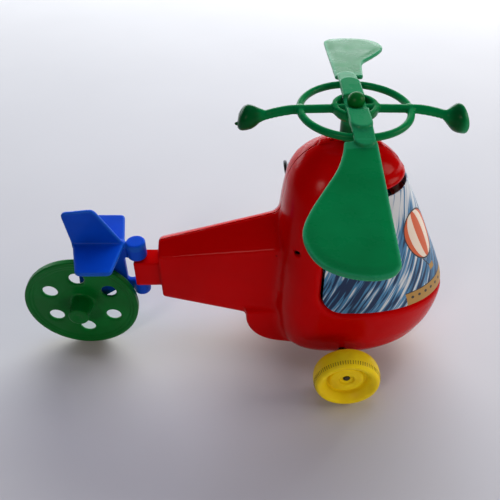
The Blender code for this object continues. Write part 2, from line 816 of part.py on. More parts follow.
def make_ring():
    """Hub cup with a sleeve, the ring and crossbar, and a weight on each bar end."""
    sleeve_low = ROOF_Z + RUNNING_GAP - RING_Z
    cup_low = CUP_TOP_Z - CUP_HEIGHT - RING_Z
    top = CUP_TOP_Z - RING_Z
    bore = SHAFT_RADIUS + PRESS_GAP
    profile = [
        (bore, top - 0.0008),
        (CUP_RADIUS - 0.0016, top - 0.0008),
        (CUP_RADIUS - 0.0010, top),
        (CUP_RADIUS - 0.0003, top),
        (CUP_RADIUS, top - 0.0004),
        (CUP_RADIUS - 0.0012, cup_low + 0.0004),
        (SLEEVE_RADIUS, cup_low),
        (SLEEVE_RADIUS, sleeve_low),
        (bore, sleeve_low),
    ]
    ring = part("rotor_ring", lathe("rotor_ring", profile, 18, closed=True), GREEN, (MAST_X, 0, RING_Z))
    join(ring, tool("hoop", hoop_mesh("hoop", RING_ROD), (MAST_X, 0, RING_Z)))
    bar = tool("crossbar", crossbar_mesh("crossbar"), (MAST_X, 0, RING_Z - 0.00015))
    hub_gap = upright("hub_gap", SLEEVE_RADIUS, MAST_X, RING_Z - 0.01, RING_Z + 0.01, 20)
    cut(bar, hub_gap)
    join(ring, bar)
    for side in (-1, 1):
        at = (
            MAST_X + side * (CROSSBAR_HALF_SPAN - 0.0008),
            0,
            RING_Z - CROSSBAR_DROOP,
        )
        turn = (0, -side * (math.pi / 2 - DROP_TILT), 0)
        join(ring, tool(f"drop_{side}", lathe("drop", drop_profile(), 10), at, turn))


def blade_outline():
    """Straight leading edge, round tip and a flared trailing edge, from its root."""
    w = BAR_WIDTH
    span = BLADE_LENGTH
    flare = smooth_path(
        [
            (0.42 * w, 0.950 * span),
            (0.08 * w, 0.986 * span),
            (-0.63 * w, span),
            (-1.59 * w, 0.980 * span),
            (-2.38 * w, 0.932 * span),
            (-2.83 * w, 0.858 * span),
            (-2.94 * w, 0.773 * span),
            (-2.62 * w, 0.680 * span),
            (-1.98 * w, 0.560 * span),
            (-1.29 * w, 0.430 * span),
            (-0.90 * w, 0.335 * span),
            (-0.82 * w, 0.285 * span),
        ],
        2,
    )
    return [(0.54 * w, 0.285 * span), (0.44 * w, 0.925 * span)] + flare


def tongue_outline(width, near, far):
    """A strip along Y with a round far end."""
    half = width / 2
    return [(-half, near)] + [(half, near)] + arc((0, far - half), half, 0, 180, 8)


def make_blades():
    """A stepped bar over the hub with a drooped paddle blade at each end."""
    half_bar = tongue_outline(BAR_WIDTH, 0, BAR_UPPER_REACH)[2:]
    upper = half_bar + [(-x, -y) for x, y in half_bar]
    thickness = BAR_LOWER_THICKNESS + BAR_UPPER_THICKNESS
    hole = circle(BALL_SHANK_RADIUS + PRESS_GAP, 12)
    bar_mid_z = BAR_Z + thickness / 2
    blades = part(
        "rotor_blades", sheet("rotor_blades", [upper, hole], thickness), GREEN, (MAST_X, 0, bar_mid_z)
    )
    hinge = 0.97 * BAR_UPPER_REACH
    for side in (0, 1):
        about = Matrix.Rotation(math.pi * (1 - side), 4, "Z")
        droop = Matrix.Translation((0, hinge, 0)) @ Matrix.Rotation(-BLADE_DROOP, 4, "X")
        droop = about @ droop @ Matrix.Translation((0, -hinge, 0))
        lower = sheet(
            f"bar_lower_{side}",
            [tongue_outline(0.94 * BAR_WIDTH, hinge - 0.004, BAR_LOWER_REACH)],
            BAR_LOWER_THICKNESS,
        )
        lift = Matrix.Translation((0, 0, -BAR_UPPER_THICKNESS / 2))
        lower.transform(droop @ lift)
        join(blades, tool(f"bar_lower_{side}", lower, (MAST_X, 0, bar_mid_z)))
        outline = [(-x, y) for x, y in blade_outline()]
        blade = sheet(f"blade_{side}", [outline], BLADE_THICKNESS)
        sunk = BAR_UPPER_THICKNESS / 2 + BAR_LOWER_THICKNESS / 2 + BLADE_THICKNESS / 2 - 0.0004
        twist = Matrix.Translation((0, 0, -sunk)) @ Matrix.Rotation(BLADE_PITCH, 4, "Y")
        blade.transform(droop @ twist)
        join(blades, tool(f"blade_{side}", blade, (MAST_X, 0, bar_mid_z)))
    groove = hoop_mesh("hoop_groove", RING_ROD + RUNNING_GAP)
    cut(blades, tool("hoop_groove", groove, (MAST_X, 0, RING_Z)))


def make_rotor_core():
    seat = BAR_TOP_Z + PRESS_GAP - BALL_Z
    turns = [math.radians(20 * i) for i in range(7)]
    ball = [(BALL_RADIUS * math.sin(a), BALL_RADIUS * math.cos(a)) for a in turns]
    ball = [p for p in ball if p[1] > seat]
    rim = math.sqrt(BALL_RADIUS**2 - seat**2)
    foot = CUP_TOP_Z - BALL_Z
    ball += [(rim, seat), (BALL_SHANK_RADIUS, seat), (BALL_SHANK_RADIUS, foot), (0, foot)]
    part("rotor_ball", lathe("rotor_ball", ball, 12), GREEN, (MAST_X, 0, BALL_Z))
    top = CUP_TOP_Z - RUNNING_GAP
    low = MAST_PINION_Z - 1.25 * PINION_WIDTH
    shaft = rod("rotor_shaft", SHAFT_RADIUS, low - RING_Z, top - RING_Z)
    part("rotor_shaft", shaft, STEEL, (MAST_X, 0, RING_Z))
    bore = SHAFT_RADIUS + PRESS_GAP
    pinion = gear_mesh("mast_pinion", MAST_PINION_TEETH, 2 * PINION_WIDTH, -math.pi / 2, bore)
    part("mast_pinion", pinion, BRASS, (MAST_X, 0, MAST_PINION_Z))


def upright_plate(name, loops, thickness):
    """A sheet standing in the XZ plane."""
    mesh = sheet(name, loops, thickness)
    mesh.transform(Matrix.Rotation(math.pi / 2, 4, "X"))
    return mesh


def make_tail():
    """Fin, stabiliser and forked spine in one moulding that swivels on the tongue."""
    upper_low = TONGUE_TOP_Z + RUNNING_GAP
    upper_high = upper_low + UPPER_LUG_HEIGHT
    lower_high = TONGUE_BOTTOM_Z - RUNNING_GAP
    lower_low = lower_high - LOWER_LUG_HEIGHT
    root_lead = SPINE_FRONT_X + 0.0009
    root_trail = root_lead - STABILISER_ROOT_CHORD
    hub = 0.0046
    arm_low = lower_low + 0.0016
    spine = [
        (SWIVEL_X, upper_low),
        (SWIVEL_X, STABILISER_Z),
        (root_trail, STABILISER_Z),
        (root_trail + 0.0006, STABILISER_Z - 0.0050),
    ]
    spine += arc((TAIL_AXLE_X, TAIL_AXLE_Z), hub, 100, 290, 10)
    spine += [
        (SPINE_FRONT_X - 0.0040, arm_low),
        (SWIVEL_X, arm_low),
        (SWIVEL_X, lower_high),
        (SPINE_FRONT_X + 0.0006, lower_high),
        (SPINE_FRONT_X, lower_high + 0.0008),
        (SPINE_FRONT_X, upper_low - 0.0008),
        (SPINE_FRONT_X + 0.0006, upper_low),
    ]
    spine = [(x - SWIVEL_X, z) for x, z in spine]
    bracket = part(
        "tail_bracket", upright_plate("tail_bracket", [spine], SPINE_THICKNESS), BLUE, (SWIVEL_X, 0, 0)
    )
    fin = [
        (root_lead, STABILISER_Z - 0.0004),
        (root_lead - FIN_SWEEP, STABILISER_Z + FIN_HEIGHT),
        (root_lead - FIN_SWEEP - FIN_TOP_CHORD, STABILISER_Z + FIN_HEIGHT - 0.0012),
        (root_trail, STABILISER_Z - 0.0004),
    ]
    join(bracket, tool("fin", upright_plate("fin", [fin], FIN_THICKNESS)))
    tip_lead = root_lead - STABILISER_TIP_SWEEP
    tip_trail = tip_lead - STABILISER_TIP_CHORD
    half = [
        (root_lead, 0),
        (tip_lead, STABILISER_TIP_LEAD_SPAN),
        (tip_trail, STABILISER_TIP_TRAIL_SPAN),
        (root_trail, 0),
    ]
    outline = half + [(x, -y) for x, y in (half[2], half[1])]
    plane = tool("stabiliser", sheet("stabiliser", [outline], STABILISER_THICKNESS), (0, 0, STABILISER_Z))
    join(bracket, plane)
    pin = SWIVEL_PIN_RADIUS
    lugs = [
        upright("upper_lug", LUG_RADIUS, SWIVEL_X, upper_low, upper_high, 16),
        upright("lower_lug", LUG_RADIUS - 0.0004, SWIVEL_X, lower_low, lower_high, 16),
        upright("upper_pin", pin, SWIVEL_X, upper_low - SWIVEL_PIN_DEPTH, upper_low + 0.001),
        upright("lower_pin", pin, SWIVEL_X, lower_high - 0.001, lower_high + SWIVEL_PIN_DEPTH),
    ]
    join(bracket, *lugs)
    boss_face = -(TAIL_WHEEL_OFFSET + TAIL_BOSS_REACH)
    stub_end = boss_face + 0.0012 + RUNNING_GAP
    stub = across("stub", TAIL_STUB_RADIUS, TAIL_AXLE_X, TAIL_AXLE_Z, stub_end, 0)
    join(bracket, stub)

    rim = TAIL_RIM_WIDTH / 2
    web = TAIL_WEB / 2
    inner_face = TAIL_WHEEL_OFFSET - SPINE_THICKNESS / 2 - RUNNING_GAP
    bore = TAIL_STUB_RADIUS + RUNNING_GAP
    r = TAIL_WHEEL_RADIUS
    profile = [
        (0, TAIL_BOSS_REACH),
        (TAIL_BOSS_RADIUS - 0.0006, TAIL_BOSS_REACH),
        (TAIL_BOSS_RADIUS, TAIL_BOSS_REACH - 0.0006),
        (TAIL_BOSS_RADIUS + 0.0003, web),
        (r - TAIL_RIM_DEPTH, web),
        (r - TAIL_RIM_DEPTH, rim),
        (r - 0.0005, rim),
        (r, rim - 0.0006),
        (r, -rim + 0.0006),
        (r - 0.0005, -rim),
        (r - TAIL_RIM_DEPTH, -rim),
        (r - TAIL_RIM_DEPTH, -web),
        (TAIL_BOSS_RADIUS, -web),
        (TAIL_BOSS_RADIUS, -inner_face),
        (bore, -inner_face),
        (bore, TAIL_BOSS_REACH - 0.0012),
        (0, TAIL_BOSS_REACH - 0.0012),
    ]
    at = (TAIL_AXLE_X, -TAIL_WHEEL_OFFSET, TAIL_AXLE_Z)
    wheel = part("tail_wheel", lathe("tail_wheel", profile, 28), GREEN, at, ALONG_Y)
    for i in range(TAIL_HOLES):
        angle = 2 * math.pi * (i + 0.5) / TAIL_HOLES
        x = TAIL_AXLE_X + TAIL_HOLE_CIRCLE * math.cos(angle)
        z = TAIL_AXLE_Z + TAIL_HOLE_CIRCLE * math.sin(angle)
        drill = across(f"lightening_{i}", TAIL_HOLE_RADIUS, x, z, -TAIL_WHEEL_RADIUS, TAIL_WHEEL_RADIUS, 10)
        cut(wheel, drill)


def make_front_wheels():
    """Balloon wheels with a recessed hub, pressed on the axle."""
    r = FRONT_WHEEL_RADIUS
    half = FRONT_WHEEL_WIDTH / 2
    bore = AXLE_RADIUS + PRESS_GAP
    profile = [
        (bore, half - 0.0016),
        (0.24 * r, half - 0.0016),
        (0.28 * r, half - 0.0006),
        (0.50 * r, half - 0.0006),
        (0.53 * r, half - 0.0014),
        (0.60 * r, half - 0.0014),
        (0.65 * r, half - 0.0001),
        (0.74 * r, half),
        (0.87 * r, 0.80 * half),
        (0.96 * r, 0.48 * half),
        (r, 0.12 * half),
        (r, -0.12 * half),
        (0.96 * r, -0.48 * half),
        (0.87 * r, -0.80 * half),
        (0.72 * r, -half),
        (0.40 * r, -half),
        (0.34 * r, -half - 0.0006),
        (bore, -half - 0.0006),
    ]
    for side, name in ((-1, "front_wheel_right"), (1, "front_wheel_left")):
        turn = (-side * math.pi / 2, 0, 0)
        at = (AXLE_X, side * FRONT_TRACK / 2, AXLE_Z)
        part(name, lathe(name, profile, 20, closed=True), YELLOW, at, turn)
    end = FRONT_TRACK / 2 + half - 0.0009
    axle = [(0, end), (AXLE_RADIUS - 0.0003, end), (AXLE_RADIUS, end - 0.0003)]
    axle += [(r, -z) for r, z in reversed(axle)]
    part("front_axle", lathe("front_axle", axle, 12), STEEL, (AXLE_X, 0, AXLE_Z), ALONG_Y)


def make_motor():
    """Two plates on pillars, the spring and the gear train between them."""
    winding = (WINDING_X, WINDING_Z)
    drive = (DRIVE_X, DRIVE_Z)
    axle = (AXLE_X, AXLE_Z)
    intermediate = (INTERMEDIATE_X, INTERMEDIATE_Z)
    bearing = ARBOR_RADIUS + BEARING_CLEARANCE
    pivots = [winding, intermediate, drive]
    corners = circle(0.0030, 12, winding) + circle(AXLE_RADIUS + 0.0010, 12, axle)
    for pillar in PILLARS:
        corners += circle(PILLAR_RADIUS + 0.0011, 12, pillar)
    outline = hull(corners)
    loops = [outline] + [circle(bearing, 12, pivot) for pivot in pivots]
    loops.append(circle(AXLE_RADIUS + BEARING_CLEARANCE, 12, axle))
    neck = PILLAR_RADIUS - 0.0004
    loops += [circle(neck + PRESS_GAP, 8, pillar) for pillar in PILLARS]
    for side, name in ((-1, "motor_plate_right"), (1, "motor_plate_left")):
        middle = side * (MOTOR_HALF_SPACE + PLATE / 2)
        part(name, sheet(name, loops, PLATE), STEEL, (0, middle, 0), ALONG_Y)
    seat = MOTOR_HALF_SPACE - PRESS_GAP
    end = MOTOR_HALF_SPACE + PLATE
    for i, (x, z) in enumerate(PILLARS):
        profile = [(0, end), (neck, end), (neck, seat), (PILLAR_RADIUS, seat)]
        profile += [(r, -h) for r, h in reversed(profile)]
        name = f"motor_pillar_{i + 1}"
        part(name, lathe(name, profile, 8), STEEL, (x, 0, z), ALONG_Y)
    strap = part(
        "mast_bridge",
        block("mast_bridge", (BRIDGE_LENGTH, 2 * MOTOR_HALF_SPACE - 2 * PRESS_GAP, BRIDGE_THICKNESS)),
        STEEL,
        (MAST_X, 0, BRIDGE_Z),
    )
    hole = SHAFT_RADIUS + RUNNING_GAP
    cut(strap, upright("bridge_hole", hole, MAST_X, BRIDGE_Z - 0.004, BRIDGE_Z + 0.004))

    layer = MOTOR_HALF_SPACE - 0.0013
    inner_layer = MOTOR_HALF_SPACE - 0.0033
    bore = ARBOR_RADIUS + PRESS_GAP
    key_face = cabin_side(WINDING_X + KEY_SLEEVE_RADIUS, WINDING_Z) + RUNNING_GAP
    arbor_end = key_face + KEY_SLEEVE_LENGTH - 0.0012
    long_arbor = rod("winding_arbor", ARBOR_RADIUS, -arbor_end, end)
    part("winding_arbor", long_arbor, STEEL, (WINDING_X, 0, WINDING_Z), ALONG_Y)
    for name, (x, z) in (("intermediate_arbor", intermediate), ("drive_arbor", drive)):
        part(name, rod(name, ARBOR_RADIUS, -end, end), STEEL, (x, 0, z), ALONG_Y)

    def spur(name, place, y, teeth, width, start, windows=0, hole=bore):
        mesh = gear_mesh(name, teeth, width, start, hole, windows)
        return part(name, mesh, BRASS, (place[0], y, place[1]), ALONG_Y)

    def pair(names, places, y, teeth, hole=bore):
        """A wheel and a pinion in mesh, a tooth of the first in a gap of the second."""
        angle = direction(*places)
        spur(names[0], places[0], y, teeth[0], WHEEL_WIDTH, angle, 4)
        gap = angle + math.pi + math.pi / teeth[1]
        spur(names[1], places[1], y, teeth[1], PINION_WIDTH, gap, hole=hole)

    pair(
        ("great_wheel", "intermediate_pinion"),
        (winding, intermediate),
        -layer,
        (GREAT_TEETH, INTERMEDIATE_PINION_TEETH),
    )
    pair(
        ("intermediate_wheel", "drive_pinion"),
        (intermediate, drive),
        layer,
        (INTERMEDIATE_TEETH, DRIVE_PINION_TEETH),
    )
    pair(
        ("drive_wheel", "axle_pinion"),
        (drive, axle),
        inner_layer,
        (DRIVE_TEETH, AXLE_PINION_TEETH),
        AXLE_RADIUS + PRESS_GAP,
    )
    crown_at = (DRIVE_X, -MAST_PINION_RADIUS, DRIVE_Z)
    part("crown_wheel", crown_mesh("crown_wheel", bore), BRASS, crown_at, ALONG_Y)

    ratchet_y = -layer + WHEEL_WIDTH / 2 + RUNNING_GAP + WHEEL_WIDTH / 2
    step = 2 * math.pi / RATCHET_TEETH
    teeth = []
    for i in range(RATCHET_TEETH):
        tip, root = RATCHET_RADIUS, 0.78 * RATCHET_RADIUS
        teeth.append((tip * math.cos(i * step), tip * math.sin(i * step)))
        teeth.append((root * math.cos((i + 0.12) * step), root * math.sin((i + 0.12) * step)))
    ratchet = sheet("ratchet_wheel", [teeth, circle(bore, 12)], WHEEL_WIDTH)
    part("ratchet_wheel", ratchet, STEEL, (WINDING_X, ratchet_y, WINDING_Z), ALONG_Y)
    rest = RATCHET_RADIUS + RUNNING_GAP
    pawl = [(rest, -0.0006), (rest + 0.0012, -0.0012), (rest + 0.0019, 0.0016)]
    pawl += arc((rest + 0.0013, 0.0046), 0.0011, 0, 180, 6)
    pawl += [(rest + 0.0004, 0.0016)]
    click = sheet("click", [pawl], WHEEL_WIDTH)
    part("click", click, STEEL, (WINDING_X, ratchet_y, WINDING_Z), ALONG_Y)

    spring = spring_mesh("mainspring", ARBOR_RADIUS + RUNNING_GAP)
    part("mainspring", spring, DARK_STEEL, (WINDING_X, 0, WINDING_Z), ALONG_Y)

    sleeve = [
        (0, KEY_SLEEVE_LENGTH),
        (KEY_SLEEVE_RADIUS - 0.0004, KEY_SLEEVE_LENGTH),
        (KEY_SLEEVE_RADIUS, KEY_SLEEVE_LENGTH - 0.0004),
        (KEY_SLEEVE_RADIUS, 0),
        (bore, 0),
        (bore, KEY_SLEEVE_LENGTH - 0.0010),
        (0, KEY_SLEEVE_LENGTH - 0.0010),
    ]
    key_turn = (-math.pi / 2, 0, 0)
    key_at = (WINDING_X, key_face, WINDING_Z)
    key = part("winding_key", lathe("winding_key", sleeve, 14), DARK_STEEL, key_at, key_turn)
    half = KEY_HALF_SPAN
    wide = KEY_WING_WIDTH
    wing = smooth_path(
        [
            (0.0, 0.30 * wide),
            (0.35 * half, 0.14 * wide),
            (0.70 * half, 0.0),
            (0.94 * half, 0.22 * wide),
            (half, 0.52 * wide),
            (0.92 * half, 0.84 * wide),
            (0.66 * half, wide),
            (0.34 * half, 0.86 * wide),
            (0.0, 0.66 * wide),
        ],
        2,
    )
    outline = wing + [(-x, y) for x, y in reversed(wing[1:-1])]
    wings = sheet("key_wings", [outline], KEY_SHEET)
    wings.transform(Matrix.Rotation(-KEY_TILT, 4, "Y") @ Matrix.Rotation(-math.pi / 2, 4, "Y"))
    wing_at = (WINDING_X, key_face + KEY_SLEEVE_LENGTH - 0.30 * wide - 0.0008, WINDING_Z)
    blade = tool("key_wings", wings, wing_at)
    clear_end = key_face + KEY_SLEEVE_LENGTH - 0.0006
    clear_radius = KEY_SLEEVE_RADIUS - 0.0003
    cut(blade, across("key_clear", clear_radius, WINDING_X, WINDING_Z, 0, clear_end))
    join(key, blade)


make_body()
make_card()
make_ring()
make_blades()
make_rotor_core()
make_tail()
make_front_wheels()
make_motor()
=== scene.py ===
"""Clockwork toy helicopter, dressed for the camera.

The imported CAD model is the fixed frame. Each moulding that shows is cast again from a distance
in millimetres, so that its edges, lips and fillets are as round as a real moulding's, and the
clockwork inside keeps its CAD solids under metal finishes.
"""

from __future__ import annotations

import logging
import math
from dataclasses import dataclass, field
from enum import Enum
from typing import Any, Callable, Sequence

import bmesh
import bpy
import numpy as np
from mathutils import Matrix, Vector

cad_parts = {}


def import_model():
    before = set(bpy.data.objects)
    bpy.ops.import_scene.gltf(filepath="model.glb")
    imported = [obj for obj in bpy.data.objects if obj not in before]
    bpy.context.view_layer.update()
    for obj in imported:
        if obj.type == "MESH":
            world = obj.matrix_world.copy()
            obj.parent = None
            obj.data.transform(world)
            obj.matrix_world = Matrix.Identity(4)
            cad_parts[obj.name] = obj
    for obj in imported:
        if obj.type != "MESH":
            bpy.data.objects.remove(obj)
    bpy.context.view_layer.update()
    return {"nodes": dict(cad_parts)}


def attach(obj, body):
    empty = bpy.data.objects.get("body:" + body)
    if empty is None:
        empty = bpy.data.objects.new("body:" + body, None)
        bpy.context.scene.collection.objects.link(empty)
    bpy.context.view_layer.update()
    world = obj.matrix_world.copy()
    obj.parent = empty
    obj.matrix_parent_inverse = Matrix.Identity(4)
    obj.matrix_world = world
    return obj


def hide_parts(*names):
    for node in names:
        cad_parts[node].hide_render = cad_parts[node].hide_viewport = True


LOG = logging.getLogger("toy_helicopter")
MM = 0.001
PER_METRE = 1000
FAR_AWAY = 9.0  # mm, out of reach of any edge

Mesh = bpy.types.Mesh
Tree = bpy.types.NodeTree
Socket = bpy.types.NodeSocket
Material = bpy.types.Material
Distance = Callable[[np.ndarray], np.ndarray]
Outline = Sequence[tuple[float, float]]


class Side(Enum):
    """The two sides of the toy, by the sign of Y."""

    STARBOARD = -1
    PORT = 1


def linear(hex_colour: str) -> tuple[float, float, float, float]:
    """Turns an sRGB hex colour into linear values.

    Args:
        hex_colour: Six hex digits, with or without the hash.

    Returns:
        Linear red, green and blue, and an alpha of one.
    """
    digits = hex_colour.lstrip("#")
    shares = [int(digits[i : i + 2], 16) / 255 for i in (0, 2, 4)]
    values = [s / 12.92 if s <= 0.04045 else ((s + 0.055) / 1.055) ** 2.4 for s in shares]
    return values[0], values[1], values[2], 1.0


def add(
    tree: Tree,
    kind: str,
    settings: dict[str, Any] | None = None,
    feeds: dict[str | int, Any] | None = None,
) -> bpy.types.Node:
    """Adds one node with its settings, values and links.

    Args:
        tree: The tree that takes the node.
        kind: The node's type name.
        settings: Properties of the node.
        feeds: A value or an output socket for each input, by name or number.

    Returns:
        The new node.
    """
    made = tree.nodes.new(kind)
    for key, value in (settings or {}).items():
        setattr(made, key, value)
    for key, value in (feeds or {}).items():
        if isinstance(value, Socket):
            tree.links.new(value, made.inputs[key])
        else:
            made.inputs[key].default_value = value
    return made


def melt(a: np.ndarray, b: np.ndarray, radius: float | np.ndarray) -> np.ndarray:
    """Joins two distances with a fillet of about this radius."""
    share = np.clip(0.5 + 0.5 * (b - a) / radius, 0, 1)
    return b + (a - b) * share - radius * share * (1 - share)


def carve(a: np.ndarray, b: np.ndarray, radius: float | np.ndarray) -> np.ndarray:
    """Cuts b out of a and rounds the edge that this leaves."""
    return -melt(-a, b, radius)


def within(a: np.ndarray, b: np.ndarray, radius: float | np.ndarray) -> np.ndarray:
    """Keeps what lies in both distances, with a rounded edge."""
    return -melt(-a, -b, radius)


def ramp(low: float, high: float, x: np.ndarray) -> np.ndarray:
    """A smooth step from nought at low to one at high."""
    t = np.clip((x - low) / (high - low), 0, 1)
    return t * t * (3 - 2 * t)


def eased(x: np.ndarray, knots: np.ndarray, values: np.ndarray) -> np.ndarray:
    """A smooth curve through knots.

    Args:
        x: Where the curve is read.
        knots: Rising places of the knots.
        values: The curve's value at each knot.

    Returns:
        The curve's value at each x.
    """
    slopes = np.gradient(values, knots)
    i = np.clip(np.searchsorted(knots, x) - 1, 0, len(knots) - 2)
    wide = knots[i + 1] - knots[i]
    t = (x - knots[i]) / wide
    rise = t * t * (3 - 2 * t)
    return (
        values[i] * (1 - rise)
        + values[i + 1] * rise
        + wide * t * (1 - t) ** 2 * slopes[i]
        - wide * t * t * (1 - t) * slopes[i + 1]
    )


def flat_distance(x: np.ndarray, y: np.ndarray, outline: Outline) -> np.ndarray:
    """Distance to a closed outline in a plane.

    Args:
        x: First coordinate of the points.
        y: Second coordinate of the points.
        outline: Corners of the outline, in order.

    Returns:
        The distance of each point, negative inside.
    """
    corners = np.asarray(outline, float)
    nearest = np.full(len(x), 1e9)
    inside = np.zeros(len(x), bool)
    for (ax, ay), (bx, by) in zip(corners, np.roll(corners, -1, axis=0)):
        ex, ey = bx - ax, by - ay
        wx, wy = x - ax, y - ay
        t = np.clip((wx * ex + wy * ey) / (ex * ex + ey * ey + 1e-12), 0, 1)
        nearest = np.minimum(nearest, (wx - ex * t) ** 2 + (wy - ey * t) ** 2)
        if ay != by:
            inside ^= ((ay > y) != (by > y)) & (x < ax + ex * (y - ay) / ey)
    return np.where(inside, -1.0, 1.0) * np.sqrt(nearest)


def rounded(outline: Outline, radius: float, steps: int = 4) -> list[tuple[float, float]]:
    """Rounds the corners of an outline.

    Args:
        outline: Corners of the outline, in order.
        radius: How far from a corner the rounding starts, less on short sides.
        steps: Points along each rounding.

    Returns:
        The rounded outline.
    """
    corners = np.asarray(outline, float)
    made: list[tuple[float, float]] = []
    befores, afters = np.roll(corners, 1, axis=0), np.roll(corners, -1, axis=0)
    for before, corner, after in zip(befores, corners, afters):
        back, ahead = before - corner, after - corner
        long_back, long_ahead = np.hypot(*back), np.hypot(*ahead)
        reach = min(radius, 0.45 * long_back, 0.45 * long_ahead)
        first = corner + back / long_back * reach
        last = corner + ahead / long_ahead * reach
        for t in np.linspace(0, 1, steps):
            x, y = (1 - t) ** 2 * first + 2 * t * (1 - t) * corner + t * t * last
            made.append((float(x), float(y)))
    return made


def threaded(points: Outline, per_span: int) -> list[tuple[float, float]]:
    """An open path that runs smoothly through its points.

    Args:
        points: Points that the path runs through.
        per_span: Steps between two points.

    Returns:
        The path's points.
    """
    places = np.asarray(points, float)
    knots = np.arange(len(places), dtype=float)
    along = np.linspace(0, len(places) - 1, per_span * (len(places) - 1) + 1)
    xs, ys = (eased(along, knots, places[:, i]) for i in (0, 1))
    return [(float(x), float(y)) for x, y in zip(xs, ys)]


def plate(
    edge_distance: np.ndarray, across: np.ndarray, half: float | np.ndarray, edge: float
) -> np.ndarray:
    """A plate with rounded edges.

    Args:
        edge_distance: Distance to the plate's outline.
        across: Height of each point above the plate's middle.
        half: Half of the plate's thickness.
        edge: Radius of its edges.

    Returns:
        The distance to the plate.
    """
    a = edge_distance + edge
    b = np.abs(across) - half + edge
    return np.minimum(np.maximum(a, b), 0) + np.hypot(np.maximum(a, 0), np.maximum(b, 0)) - edge


def bar(p: np.ndarray, low: Sequence[float], high: Sequence[float], edge: float) -> np.ndarray:
    """A block between two corners, with rounded edges.

    Args:
        p: Points.
        low: The block's lowest corner.
        high: Its highest corner.
        edge: Radius of its edges.

    Returns:
        The distance of each point, negative inside.
    """
    middle = (np.asarray(low, float) + np.asarray(high, float)) / 2
    half = (np.asarray(high, float) - np.asarray(low, float)) / 2 - edge
    out = np.abs(p - middle) - half
    return np.minimum(out.max(axis=1), 0) + np.linalg.norm(np.maximum(out, 0), axis=1) - edge


def slope_of(distance: Distance, p: np.ndarray, reach: float) -> np.ndarray:
    """The direction in which a distance rises, at each point.

    Args:
        distance: The distance.
        p: Points.
        reach: How far to each side it is read.

    Returns:
        A vector for each point.
    """
    parts = []
    for axis in range(3):
        shift = np.zeros(3)
        shift[axis] = reach
        parts.append((distance(p + shift) - distance(p - shift)) / (2 * reach))
    return np.stack(parts, axis=1)


